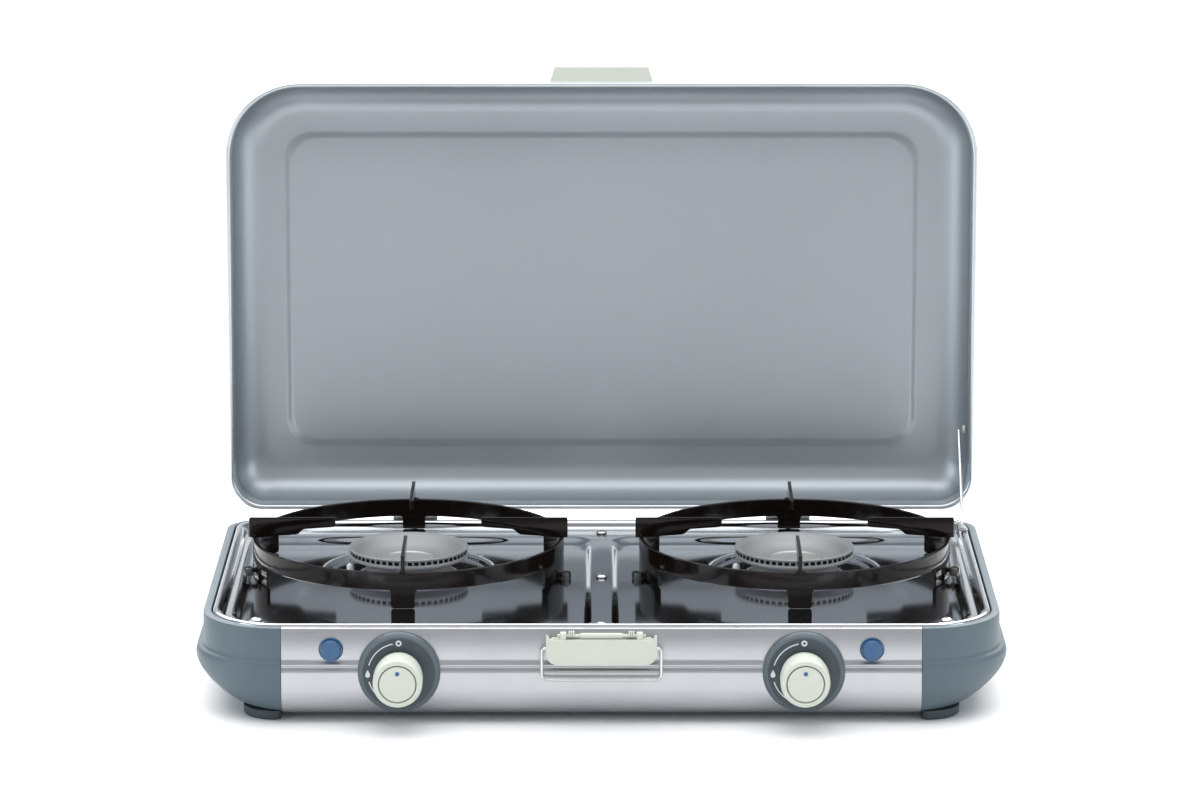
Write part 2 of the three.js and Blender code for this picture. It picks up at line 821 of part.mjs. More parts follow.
function latchBail() {
  const { y, z } = BAIL_PIVOT;
  const [w, low, bend] = [BAIL_HALF_WIDTH, z - BAIL_LENGTH, 3];
  const halfPath = [
    [34.2, y, z],
    [w - 1.6, y, z],
    [w - 0.3, y, z - 0.5],
    [w, y, z - 2.2],
    [w, y, z - 10],
    [w, y, low + bend],
    [w - 0.9, y, low + 0.9],
    [w - bend, y, low],
    [w - 12, y, low],
  ];
  const otherHalf = halfPath.map(([x, py, pz]) => [-x, py, pz]).reverse();
  return wire([...halfPath, ...otherHalf], BAIL_RADIUS, 44, 6);
}

// ---------------------------------------------------------------- pan support
function panSupport(side) {
  const rear = Math.PI / 2;
  const bandBottom = RING_TOP_Z - RING_BAND;
  const arcBand = (start, end, z0, z1, segments) => {
    const shape = new THREE.Shape();
    shape.absarc(0, 0, RING_RADIUS, start, end, false);
    shape.absarc(0, 0, RING_RADIUS - STEEL, end, start, true);
    const options = { depth: z1 - z0, bevelEnabled: false, curveSegments: segments };
    return new THREE.ExtrudeGeometry(shape, options).translate(0, 0, z0);
  };
  const ring = latheZ(
    [
      [RING_RADIUS - STEEL, bandBottom],
      [RING_RADIUS, bandBottom],
      [RING_RADIUS, RING_TOP_Z],
      [RING_RADIUS - STEEL, RING_TOP_Z],
      [RING_RADIUS - STEEL, bandBottom],
    ],
    48,
  );
  const legBottom = WELL_Z + GAP;
  const skirts = [0, Math.PI].map((a) =>
    arcBand(a - SKIRT_ANGLE, a + SKIRT_ANGLE, legBottom, bandBottom + 2, 7),
  );
  const halfLeg = Math.asin(LEG_WIDTH / 2 / RING_RADIUS);
  const legs = [
    arcBand(rear - halfLeg, rear + halfLeg, SHELF_Z + GAP, bandBottom + 2, 1),
    arcBand(3 * rear - halfLeg, 3 * rear + halfLeg, legBottom, bandBottom + 2, 1),
  ];
  const armOutline = [
    [ARM_OUTER, RING_TOP_Z - 1.8],
    [ARM_OUTER, ARM_TOP_Z],
    [ARM_INNER, ARM_TOP_Z],
    [ARM_INNER, ARM_TOP_Z - 6.6],
    [ARM_STEP, RING_TOP_Z + 4.1],
    [ARM_STEP + 4, RING_TOP_Z + 0.4],
    [RING_RADIUS - 4, RING_TOP_Z - 1.8],
  ];
  const arms = [0, 1, 2, 3].map((quarter) =>
    prismY(armOutline, -STEEL / 2, STEEL / 2).rotateZ((quarter * Math.PI) / 2),
  );
  const lugs = [-LUG_ANGLE, Math.PI + LUG_ANGLE].map((angle, i) => {
    const onShelf = (i === 0) === side > 0;
    const z = onShelf ? SHELF_Z : WELL_Z;
    return box(RING_RADIUS - 1.5, RING_RADIUS + 7.4, -1.9, 1.9, z + 1, z + 4.4).rotateZ(angle);
  });
  return join(ring, ...skirts, ...legs, ...arms, ...lugs).translate(side * BURNER_X, BURNER_Y, 0);
}

// ---------------------------------------------------------------- lid, drawn closed round the hinge
// Points of the lid's section: [distance in from its outline, height above its rim].
function lidProfile(thickness) {
  const radius = LID_COVE - thickness;
  const [centre, height] = [LID_WALL_INSET + LID_COVE, LID_DEPTH - LID_COVE];
  const cove = Array.from({ length: 5 }, (_, i) => {
    const a = (Math.PI / 2) * (i / 4);
    return [centre - radius * Math.cos(a), height + radius * Math.sin(a)];
  });
  const floor = LID_DEPTH - thickness;
  return [...cove, [PANEL_MARGIN - 1, floor], [PANEL_MARGIN + 1, floor - PANEL_STEP]];
}

function lidRing([inset, height]) {
  const inPanel = inset >= PANEL_MARGIN - 1;
  const front = inPanel ? 15 : Math.max(FRONT_CORNER - inset, 15);
  const rear = inPanel ? 17 : Math.max(REAR_CORNER - inset * 0.35, 17);
  return roundedRing(
    {
      x0: -LID_HALF_WIDTH + inset,
      x1: LID_HALF_WIDTH - inset,
      y0: LID_FRONT_Y + inset - HINGE.y,
      y1: LID_REAR_Y - inset - HINGE.y,
      z: LID_RIM_Z + height - HINGE.z,
      rearRight: rear,
      rearLeft: rear,
      frontLeft: front,
      frontRight: front,
    },
    6,
  );
}

function lidShell() {
  const insideWall = [[2.9, 4], [3.4, 1.6]];
  const rim = [[2.6, 0], [0.8, 0], [0, 1.6], [0.3, 2.9]];
  const outsideWall = [[1.5, 4]];
  const sections = [
    ...lidProfile(LID_SHEET).reverse(),
    ...insideWall,
    ...rim,
    ...outsideWall,
    ...lidProfile(0),
  ];
  return loft(sections.map(lidRing));
}

function lidCatch() {
  const [root, tip] = [LID_FRONT_Y - GAP - HINGE.y, LID_FRONT_Y - CATCH.length - HINGE.y];
  const [low, top] = [LID_RIM_Z + 0.5 - HINGE.z, LID_RIM_Z + 3.5 - HINGE.z];
  const outline = [
    [root, low],
    [root, top + 9],
    [root - 1.6, top + 9],
    [root - 1.6, top],
    [tip + 6.4, top],
    [tip + 5.2, top + 3],
    [tip + 3, top + 3],
    [tip, top],
    [tip, low],
  ];
  const plate = prismX(outline, -CATCH.half, CATCH.half);
  const cornerCut = (s) =>
    new THREE.ExtrudeGeometry(
      new THREE.Shape([
        new THREE.Vector2(s * CATCH.half, root - 1),
        new THREE.Vector2(s * CATCH.halfTip, tip - 1),
        new THREE.Vector2(s * 40, tip - 1),
        new THREE.Vector2(s * 40, root - 1),
      ]),
      { depth: 30, bevelEnabled: false },
    ).translate(0, 0, low - 5);
  return cut(plate, cornerCut(1), cornerCut(-1));
}

// Hinge parts, round the hinge axis: the lid leaf has the middle knuckle, the base leaf the outer two.
const KNUCKLE_RADIUS = 3;
const PIN_RADIUS = 1.5;
const HINGE_HALF = 16;
const MIDDLE_HALF = 6;

function hingeBore(x) {
  return rodX(PIN_RADIUS + 0.4, x - 30, x + 30, 0, 0, 14);
}

function hingeLidLeaf(side) {
  const x = side * HINGE.x;
  const near = LID_REAR_Y - HINGE.y + GAP;
  const knuckle = rodX(KNUCKLE_RADIUS, x - MIDDLE_HALF, x + MIDDLE_HALF, 0, 0, 18);
  const neck = box(x - MIDDLE_HALF, x + MIDDLE_HALF, near, near + SHEET, -0.4, 4);
  const leaf = box(x - HINGE_HALF, x + HINGE_HALF, near, near + SHEET, 3.6, 13);
  return cut(join(knuckle, neck, leaf), hingeBore(x));
}

function hingeBaseLeaf(side) {
  const x = side * HINGE.x;
  const wall = HALF_DEPTH + 2.5 + GAP - HINGE.y;
  const top = RIM_Z - HINGE.z;
  const knuckles = [-1, 1].flatMap((s) => {
    const [near, far] = [MIDDLE_HALF + 0.4, HINGE_HALF].map((d) => x + s * d).sort((a, b) => a - b);
    return [rodX(KNUCKLE_RADIUS, near, far, 0, 0, 18), box(near, far, wall, 1, -6, -1.6)];
  });
  const leaf = box(x - HINGE_HALF, x + HINGE_HALF, wall, wall + SHEET, top - 26, top - 2);
  return cut(join(leaf, ...knuckles), hingeBore(x));
}

const hingePin = (side) =>
  rodX(PIN_RADIUS, side * HINGE.x - HINGE_HALF - 1, side * HINGE.x + HINGE_HALF + 1, 0, 0, 12);

function stayBush() {
  const y = -BUSH_ALONG_LID;
  const z = LID_RIM_Z + BUSH_DEPTH - HINGE.z;
  return cut(rodX(3.2, BUSH_X, BUSH_X + 1.8, y, z, 14), rodX(1.5, BUSH_X + 0.8, BUSH_X + 5, y, z, 8));
}

// ---------------------------------------------------------------- lid stay
function stayAnchor() {
  const { y, z } = STAY_PIVOT;
  const saddle = box(254.6, 262.6, y - 4, y + 4, 67 + GAP, 67 + GAP + SHEET);
  const tab = box(254.6, 256.4, y - 3.2, y + 3.2, 67 + GAP, z + 3.2);
  return cut(join(saddle, tab), rodX(1.5, 250, 260, y, z, 10));
}

// Drawn lying along +Y from its pivot; the group turns it up.
function lidStay() {
  const tip = STAY_LENGTH;
  return wire(
    [
      [253.4, 0, 0],
      [256, 0, 0],
      [257.8, 0.2, 0],
      [258.8, 1.4, 0],
      [STAY_X, 4, 0],
      [STAY_X, tip / 2, 0],
      [STAY_X, tip - 1, 0],
    ],
    STAY_RADIUS,
    20,
    6,
  );
}

// ---------------------------------------------------------------- assembly
const stove = new THREE.Group();
const base = new THREE.Group();
base.position.y = BASE_Y;
stove.add(base);

function place(name, geometry, finish, parent = base) {
  const mesh = new THREE.Mesh(clean(geometry), paint(...FINISH[finish]));
  mesh.name = name;
  parent.add(mesh);
  return mesh;
}

function frameAt(x, y, z, turnX = 0) {
  const group = new THREE.Group();
  group.position.set(x, y, z);
  group.rotation.x = turnX;
  base.add(group);
  return group;
}

const sides = [
  ["left", -1],
  ["right", 1],
];

place("body_shell", bodyShell(), "satinSteel");
place("hob_plate", hobPlate(), "brightSteel");
place("gas_manifold", gasManifold(), "castAluminium");
place("gas_inlet", gasInlet(), "brass");
place("latch_bracket", latchBracket(), "ivoryPlastic");
place("latch_pin", latchPin(), "ivoryPlastic");
place("latch_lever", latchLever(), "ivoryPlastic");
place("latch_bail", latchBail(), "brightSteel");
place("stay_anchor", stayAnchor(), "brightSteel");
for (const [name, x, y] of screwSeats) place(`hob_screw_${name}`, hobScrew(x, y), "brightSteel");

const hinge = frameAt(0, HINGE.y, HINGE.z);
const lid = frameAt(0, HINGE.y, HINGE.z, -LID_OPEN);
place("lid_shell", lidShell(), "lidAlloy", lid);
place("lid_catch", lidCatch(), "ivoryPlastic", lid);
place("stay_bush", stayBush(), "ivoryPlastic", lid);

const stayGroup = frameAt(0, STAY_PIVOT.y, STAY_PIVOT.z, STAY_ANGLE);
place("lid_stay", lidStay(), "brightSteel", stayGroup);

for (const [word, side] of sides) {
  place(`end_cap_${word}`, endCap(side), "greyPlastic");
  place(`foot_front_${word}`, foot(side, -1), "darkRubber");
  place(`foot_rear_${word}`, foot(side, 1), "darkRubber");
  place(`burner_head_${word}`, burnerHead(side), "castAluminium");
  place(`burner_disc_${word}`, burnerDisc(side), "castAluminium");
  place(`burner_cup_${word}`, burnerCup(side), "satinSteel");
  place(`mixing_tube_${word}`, mixingTube(side), "satinSteel");
  place(`injector_${word}`, injector(side), "brass");
  place(`gas_valve_${word}`, gasValve(side), "brass");
  place(`dial_${word}`, dialPlate(side), "dialPlastic");
  place(`spark_electrode_${word}`, sparkElectrode(side), "ceramic");
  place(`piezo_igniter_${word}`, piezoIgniter(side), "bluePlastic");
  place(`ignition_lead_${word}`, ignitionLead(side), "darkCable");
  place(`pan_support_${word}`, panSupport(side), "blackEnamel");
  place(`hinge_base_leaf_${word}`, hingeBaseLeaf(side), "satinSteel", hinge);
  place(`hinge_pin_${word}`, hingePin(side), "brightSteel", hinge);
  place(`hinge_lid_leaf_${word}`, hingeLidLeaf(side), "satinSteel", lid);

  const knob = frameAt(side * BURNER_X, PANEL_Y, CONTROL_Z);
  place(`knob_${word}`, knobBody(), "ivoryPlastic", knob);
  place(`knob_insert_${word}`, knobInsert(), "ivoryPlastic", knob);
  place(`valve_stem_${word}`, valveStem(), "brass", knob);
  const button = frameAt(side * BUTTON_X, PANEL_Y, BUTTON_Z);
  place(`igniter_button_${word}`, igniterButton(), "bluePlastic", button);
}

export default stove;
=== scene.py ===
"""Looks for a two-burner camping stove with a hinged wind lid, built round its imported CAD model."""

import json
import math

import bmesh
import bpy
from mathutils import Matrix, Vector
from mathutils.geometry import delaunay_2d_cdt


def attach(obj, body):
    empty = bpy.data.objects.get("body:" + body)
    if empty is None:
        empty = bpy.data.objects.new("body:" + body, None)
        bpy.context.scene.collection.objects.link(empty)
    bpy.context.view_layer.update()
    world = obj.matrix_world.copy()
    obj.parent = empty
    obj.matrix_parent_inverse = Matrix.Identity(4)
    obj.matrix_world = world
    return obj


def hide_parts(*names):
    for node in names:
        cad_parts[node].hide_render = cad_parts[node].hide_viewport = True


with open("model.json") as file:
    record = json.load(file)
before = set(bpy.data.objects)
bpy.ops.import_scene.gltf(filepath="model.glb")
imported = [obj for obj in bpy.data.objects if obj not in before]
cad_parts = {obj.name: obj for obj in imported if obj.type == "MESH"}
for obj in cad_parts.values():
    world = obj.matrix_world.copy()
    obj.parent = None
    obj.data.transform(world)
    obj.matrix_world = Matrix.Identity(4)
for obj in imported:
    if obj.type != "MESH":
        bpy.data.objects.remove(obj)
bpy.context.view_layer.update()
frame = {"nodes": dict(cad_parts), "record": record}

# Everything is drawn in millimetres, with the base's middle at Y = 0, and placed by BASE_Y.
MM = 0.001
BASE_Y = -6.74

# -------- the CAD model's dimensions
HALF_WIDTH, HALF_DEPTH = 269.6, 154
FRONT_CORNER, REAR_CORNER = 54, 23
RIM_Z = 66
CAP_START_X = 214
CAP_FLANGE = 5.5
CAP_WALL = 2.4
CAP_CORNER_STEPS = 20
SHEET = 1.2
HOB_EDGE = 5.9
SHELF_Z, WELL_Z = 63.4, 60
WELL_X = (7.5, 248)
WELL_Y = (-140.5, 112)
WELL_RADII = (18, 15, 15, 34)
BEAD_X, BEAD_Y = 130, 128.5
DISH_RADIUS, DISH_DEPTH = 58, 2.6
BURNER_X, BURNER_Y = 135.2, 28.7
BURNER_RADIUS, BURNER_TOP_Z = 42, 77.5
BURNER_OPENING = 31
ELECTRODE_OFFSET, ELECTRODE_BACK = 40.7, 4
RING_RADIUS, RING_BAND, RING_TOP_Z = 109, 12.5, 85.5
STEEL = 2.5
ARM_TOP_Z, ARM_OUTER, ARM_INNER = 97.8, 111.5, 51
LEG_WIDTH = 16.3
LUG_REACH = RING_RADIUS + 4.6
SKIRT_ANGLE, LUG_ANGLE = math.radians(28), math.radians(12.7)
PANEL_Y = -HALF_DEPTH
CONTROL_Z = 36.4
DIAL_FACE, DIAL_RADIUS = 6.4, 27.65
KNOB_FACE, KNOB_RADIUS = 34.3, 16.5
BUTTON_X, BUTTON_Z, BUTTON_RADIUS, BUTTON_FACE = 180.7, 51.5, 7, 5.8
LATCH_PIN = (PANEL_Y - 6, 62.3)
LEVER_HALF_WIDTH, LEVER_BOTTOM_Z, LEVER_TOP_Z = 37, 43, 60.4
LEVER_FACE_Y = PANEL_Y - 10
LATCH_HOOK_X, LATCH_LUG_X = 20, 25.5
BAIL_PIVOT = (PANEL_Y - 8, 54)
BAIL_HALF_WIDTH, BAIL_LENGTH, BAIL_RADIUS = 39.9, 21.7, 1
LID_HALF_WIDTH, LID_REAR_Y, LID_FRONT_Y = 269.4, 154.65, -156.85
LID_RIM_Z, LID_DEPTH, LID_SHEET, LID_COVE = 67.2, 38.7, 1, 24
HINGE = Vector((0, 158, 69.2))
LID_OPEN = math.radians(91.5)
PANEL_STEP = 1.9
STAY_X, STAY_PIVOT, STAY_LENGTH = 259, (117, 71.5), 80
STAY_ANGLE = math.radians(45.7)

SIDES = (("left", -1), ("right", 1))
LID_TURN = Matrix.Translation(HINGE) @ Matrix.Rotation(-LID_OPEN, 4, "X") @ Matrix.Translation(-HINGE)


# -------- materials
def srgb(r, g, b):
    """A display colour, 0 to 255, as the linear colour that shaders use."""
    return tuple(((c / 255 + 0.055) / 1.055) ** 2.4 for c in (r, g, b)) + (1,)


def material(
    name,
    color,
    other=None,
    roughness=(0.4, 0.5),
    metallic=0.0,
    coat=0.0,
    grain=(400, 400, 400),
    bump=0.0,
    patch=30,
    ior=1.5,
):
    """A finish whose colour and gloss drift slowly (patch) and whose surface has a fine grain."""
    m = bpy.data.materials.new(name)
    m.use_nodes = True
    nodes, links = m.node_tree.nodes, m.node_tree.links
    shader = nodes["Principled BSDF"]
    shader.inputs["Metallic"].default_value = metallic
    shader.inputs["IOR"].default_value = ior
    shader.inputs["Coat Weight"].default_value = coat
    shader.inputs["Coat Roughness"].default_value = 0.06
    place = nodes.new("ShaderNodeTexCoord")
    drift = nodes.new("ShaderNodeTexNoise")
    drift.inputs["Scale"].default_value = patch
    drift.inputs["Detail"].default_value = 4
    links.new(place.outputs["Object"], drift.inputs["Vector"])
    mix = nodes.new("ShaderNodeMix")
    mix.data_type = "RGBA"
    mix.inputs[6].default_value = color
    mix.inputs[7].default_value = other or tuple(c * 0.86 for c in color[:3]) + (1,)
    links.new(drift.outputs["Fac"], mix.inputs[0])
    links.new(mix.outputs[2], shader.inputs["Base Color"])
    stretch = nodes.new("ShaderNodeMapping")
    stretch.inputs["Scale"].default_value = grain
    links.new(place.outputs["Object"], stretch.inputs["Vector"])
    fine = nodes.new("ShaderNodeTexNoise")
    fine.inputs["Scale"].default_value = 1
    fine.inputs["Detail"].default_value = 3
    links.new(stretch.outputs["Vector"], fine.inputs["Vector"])
    gloss = nodes.new("ShaderNodeMapRange")
    gloss.inputs["To Min"].default_value = roughness[0]
    gloss.inputs["To Max"].default_value = roughness[1]
    links.new(fine.outputs["Fac"], gloss.inputs["Value"])
    links.new(gloss.outputs["Result"], shader.inputs["Roughness"])
    if bump:
        raised = nodes.new("ShaderNodeBump")
        raised.inputs["Strength"].default_value = bump
        raised.inputs["Distance"].default_value = 0.0004
        links.new(fine.outputs["Fac"], raised.inputs["Height"])
        links.new(raised.outputs["Normal"], shader.inputs["Normal"])
    return m


PANEL_STEEL = material(
    "panel_steel",
    (0.47, 0.48, 0.495, 1),
    roughness=(0.24, 0.36),
    metallic=1,
    grain=(30, 900, 900),
    bump=0.03,
)
HOB_STEEL = material(
    "hob_steel", (0.56, 0.575, 0.60, 1), roughness=(0.07, 0.12), metallic=1, grain=(20, 20, 20), patch=12
)
# painted shade: the cradles are pressed from the bright plate, and this dark steel paints the shade in the
# recess round each lug
CRADLE_PAINTED_SHADE = material("cradle_painted_shade", (0.16, 0.165, 0.16, 1), roughness=(0.3, 0.4), metallic=1)
PLATED = material("plated_steel", (0.62, 0.62, 0.61, 1), roughness=(0.18, 0.28), metallic=1)
LID_ALLOY = material(
    "lid_alloy",
    (0.37, 0.40, 0.425, 1),
    roughness=(0.36, 0.44),
    metallic=0.78,
    grain=(900, 60, 60),
    bump=0.06,
    patch=6,
)
LID_RIM_STEEL = material("lid_rim", (0.60, 0.64, 0.66, 1), roughness=(0.25, 0.33), metallic=1, bump=0.03)
GREY_PLASTIC = material(
    "grey_plastic",
    srgb(80, 95, 103),
    srgb(74, 88, 96),
    roughness=(0.42, 0.55),
    grain=(1500, 1500, 1500),
    bump=0.25,
)
DARK_RUBBER = material(
    "foot_rubber",
    srgb(62, 71, 77),
    srgb(54, 62, 68),
    roughness=(0.6, 0.75),
    grain=(1200, 1200, 1200),
    bump=0.3,
)
DIAL_FACE_PLASTIC = material(
    "dial_face",
    srgb(58, 67, 74),
    srgb(52, 61, 68),
    roughness=(0.38, 0.5),
    grain=(1200, 1200, 1200),
    bump=0.15,
)
DIAL_RIM_PLASTIC = material(
    "dial_rim", srgb(80, 91, 98), roughness=(0.38, 0.5), grain=(1200, 1200, 1200), bump=0.1
)
DIAL_PRINT = material("dial_print", srgb(216, 222, 224), roughness=(0.4, 0.5))
IVORY = material(
    "ivory_plastic",
    srgb(196, 199, 188),
    srgb(188, 192, 180),
    roughness=(0.3, 0.4),
    grain=(900, 900, 900),
    bump=0.06,
)
BLUE = material("blue_plastic", srgb(47, 88, 126), srgb(42, 81, 118), roughness=(0.28, 0.36), bump=0.04)
BLUE_PRINT = material("blue_print", srgb(34, 84, 140), roughness=(0.35, 0.45))
ENAMEL = material(
    "black_enamel",
    (0.004, 0.0028, 0.0022, 1),
    (0.008, 0.0048, 0.0036, 1),
    roughness=(0.07, 0.13),
    grain=(260, 260, 260),
    bump=0.12,
    ior=1.28,
)
ALUMINIUM = material(
    "cast_aluminium",
    (0.33, 0.34, 0.345, 1),
    roughness=(0.5, 0.62),
    metallic=0.6,
    grain=(700, 700, 700),
    bump=0.2,
)
DISC_ALUMINIUM = material(
    "disc_aluminium",
    (0.46, 0.47, 0.46, 1),
    roughness=(0.42, 0.52),
    metallic=0.7,
    grain=(500, 500, 500),
    bump=0.15,
)
# painted shade: the faces inside the flame ports are painted near black, standing for the shade in the
# recesses
PORT_PAINTED_SHADE = material("port_painted_shade", (0.012, 0.012, 0.013, 1), roughness=(0.6, 0.8))
BRASS = material("brass", (0.60, 0.42, 0.16, 1), roughness=(0.25, 0.38), metallic=1, bump=0.05)
CERAMIC = material("white_ceramic", srgb(243, 243, 239), roughness=(0.15, 0.25), coat=0.3)
CABLE = material("cable", srgb(36, 38, 41), roughness=(0.5, 0.6), grain=(600, 600, 600), bump=0.1)

SLOT_FINISH = {
    "satin_steel": PANEL_STEEL,
    "bright_steel": HOB_STEEL,
    "plated_steel": PLATED,
    "lid_alloy": LID_ALLOY,
    "grey_plastic": GREY_PLASTIC,
    "dial_plastic": DIAL_FACE_PLASTIC,
    "ivory_plastic": IVORY,
    "blue_plastic": BLUE,
    "foot_rubber": DARK_RUBBER,
    "black_enamel": ENAMEL,
    "cast_aluminium": ALUMINIUM,
    "brass": BRASS,
    "white_ceramic": CERAMIC,
    "cable": CABLE,
}


# -------- drawing helpers
class Shape:
    """Solids gathered into one mesh: points in millimetres, faces, and the paint number of each face."""

    def __init__(self):
        self.points, self.faces, self.paint = [], [], []

    def add(self, solid, paint=0, turn=None):
        points, faces = solid
        start = len(self.points)
        self.points += [turn @ Vector(p) if turn else Vector(p) for p in points]
        self.faces += [[start + i for i in face] for face in faces]
        self.paint += [paint] * len(faces)
        return self


def piece(name, body, shape, paints, replaces=(), sharp=38, turn=None, outward=True):
    """Makes the object, sets its finishes, hangs it on its body and hides the CAD parts that it stands for.
    """
    mesh = bpy.data.meshes.new(name)
    bm = bmesh.new()
    points = [bm.verts.new(turn @ p if turn else p) for p in shape.points]
    for indices, paint in zip(shape.faces, shape.paint):
        loop = [points[i] for i in indices]
        if len(set(loop)) > 2:
            try:
                bm.faces.new(loop).material_index = paint
            except ValueError:
                pass
    bmesh.ops.remove_doubles(bm, verts=bm.verts, dist=0.002)
    if outward:
        bmesh.ops.recalc_face_normals(bm, faces=bm.faces)
    bmesh.ops.transform(bm, matrix=Matrix.Translation((0, BASE_Y, 0)), verts=bm.verts)
    bmesh.ops.scale(bm, vec=(MM, MM, MM), verts=bm.verts)
    bm.to_mesh(mesh)
    bm.free()
    for paint in paints:
        mesh.materials.append(paint)
    mesh.shade_smooth()
    mesh.set_sharp_from_angle(angle=math.radians(sharp))
    made = bpy.data.objects.new(name, mesh)
    bpy.context.scene.collection.objects.link(made)
    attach(made, body)
    if replaces:
        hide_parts(*replaces)
    return made


def rounded(points, radius, steps=4, closed=False):
    """The polyline with each corner turned into a smooth bend of about that radius."""
    points = [Vector(p) for p in points]
    out = []
    for i, corner in enumerate(points):
        if not closed and i in (0, len(points) - 1):
            out.append(corner)
            continue
        size = radius[i] if isinstance(radius, (list, tuple)) else radius
        to_last, to_next = points[i - 1] - corner, points[(i + 1) % len(points)] - corner
        reach = min(size, to_last.length * 0.48, to_next.length * 0.48)
        if reach < 1e-3:
            out.append(corner)
            continue
        start, end = corner + to_last.normalized() * reach, corner + to_next.normalized() * reach
        for k in range(steps + 1):
            t = k / steps
            out.append(start * (1 - t) ** 2 + corner * 2 * t * (1 - t) + end * t * t)
    return out


def arc(cx, cy, radius, start, end, steps):
    """Points [x, y] on an arc, angles in degrees."""
    turns = [math.radians(start + (end - start) * k / steps) for k in range(steps + 1)]
    return [(cx + radius * math.cos(a), cy + radius * math.sin(a)) for a in turns]


def smooth(t):
    t = min(max(t, 0), 1)
    return t * t * (3 - 2 * t)


def loft(rings, ends=(True, True)):
    """Faces through closed rings of equal point counts, with flat ends."""
    count = len(rings[0])
    points = [p for ring in rings for p in ring]
    faces = []
    for r in range(len(rings) - 1):
        for i in range(count):
            a, b = r * count + i, r * count + (i + 1) % count
            faces.append([a, b, b + count, a + count])
    if ends[0]:
        faces.append(list(range(count))[::-1])
    if ends[1]:
        faces.append([(len(rings) - 1) * count + i for i in range(count)])
    return points, faces


def lathe(profile, segments=64, centre=(0, 0, 0), forward=False, ends=(True, True)):
    """A profile of [radius, height] round an upright axis, or round one that points at -Y."""
    rings = []
    for r, h in profile:
        ring = []
        for i in range(segments):
            a = 2 * math.pi * i / segments
            x, y = max(r, 0) * math.cos(a), max(r, 0) * math.sin(a)
            local = (x, -h, y) if forward else (x, y, h)
            ring.append([centre[k] + local[k] for k in range(3)])
        rings.append(ring)
    return loft(rings, ends)


def lying(x, y, z):
    """The placement that lays an upright solid along X, at a point."""
    return Matrix.Translation((x, y, z)) @ Matrix.Rotation(math.pi / 2, 4, "Y")


def ring_lathe(profile, segments):
    """A closed profile of [radius, height] round an upright axis."""
    return lathe(profile + [profile[0]], segments, ends=(False, False))


def tube(path, radius, sides=14):
    """A round wire along a path, with softly rounded ends."""
    path = [Vector(p) for p in path]
    last = len(path) - 1
    ahead = [(path[min(i + 1, last)] - path[max(i - 1, 0)]).normalized() for i in range(last + 1)]
    side = ahead[0].orthogonal().normalized()
    rings = []
    for i, (p, t) in enumerate(zip(path, ahead)):
        side = (side - t * side.dot(t)).normalized()
        other = t.cross(side)
        turns = [2 * math.pi * k / sides for k in range(sides)]
        ring = [p + (side * math.cos(a) + other * math.sin(a)) * radius for a in turns]
        rings.append((p, t, ring))
    closed = []
    for share, back in ((0.55, 0.0), (0.9, 0.25)):
        p, t, ring = rings[0]
        closed.append([p - t * radius * (0.5 - back * 1.6) + (q - p) * share for q in ring])
    closed += [ring for _, _, ring in rings]
    for share, back in ((0.9, 0.25), (0.55, 0.0)):
        p, t, ring = rings[-1]
        closed.append([p + t * radius * (0.5 - back * 1.6) + (q - p) * share for q in ring])
    return loft(closed)


def plate(outline, place, thickness, bevel=0.4):
    """A flat plate: a closed outline of [u, v], its edges eased. place(u, v, w) puts a point in space."""
    bm = bmesh.new()
    face = bm.faces.new([bm.verts.new((u, v, 0)) for u, v in outline])
    made = bmesh.ops.extrude_face_region(bm, geom=[face])
    top = [v for v in made["geom"] if isinstance(v, bmesh.types.BMVert)]
    bmesh.ops.translate(bm, vec=(0, 0, thickness), verts=top)
    bmesh.ops.recalc_face_normals(bm, faces=bm.faces)
    if bevel:
        rims = [e for e in bm.edges if abs(e.verts[0].co.z - e.verts[1].co.z) < 1e-6]
        bmesh.ops.bevel(bm, geom=rims, offset=bevel, segments=2, affect="EDGES", profile=0.6)
    bm.verts.index_update()
    points = [place(*v.co) for v in bm.verts]
    faces = [[v.index for v in f.verts] for f in bm.faces]
    bm.free()
    return points, faces


def block(x0, x1, y0, y1, z0, z1, bevel=0.3):
    """A box with eased edges."""
    outline = rounded([(x0, y0), (x1, y0), (x1, y1), (x0, y1)], bevel * 2, 2, closed=True)
    return plate(outline, lambda u, v, w: (u, v, z0 + w), z1 - z0, bevel)


def rounded_ring(x0, x1, y0, y1, z, radii, segments=14):
    """A level rectangle with round corners: radii are rear right, rear left, front left, front right."""
    corners = [(x1, y1, -1, -1), (x0, y1, 1, -1), (x0, y0, 1, 1), (x1, y0, -1, 1)]
    ring = []
    for number, ((x, y, sx, sy), wanted) in enumerate(zip(corners, radii)):
        radius = max(wanted, 0.3)
        for i in range(segments + 1):
            a = math.pi / 2 * (number + i / segments)
            ring.append((x + sx * radius + radius * math.cos(a), y + sy * radius + radius * math.sin(a), z))
    return ring


def base_ring(side, front, z, segments=14):
    """The base outline, moved out by side at the ends and by front at the front and rear."""
    mean = (side + front) / 2
    rear = REAR_CORNER + max(mean, -6)
    radii = (rear, rear, FRONT_CORNER + mean, FRONT_CORNER + mean)
    x, y = HALF_WIDTH + side, HALF_DEPTH + front
    return rounded_ring(-x, x, -y, y, z, radii, segments)


# -------- base: sheet shell and end caps
def offset_line(line, distance):
    """The [y, z] line moved to the left of its direction."""
    out = []
    for i, (y, z) in enumerate(line):
        before, after = line[max(i - 1, 0)], line[min(i + 1, len(line) - 1)]
        along = Vector((after[0] - before[0], after[1] - before[1])).normalized()
        out.append((y - along.y * distance, z + along.x * distance))
    return out


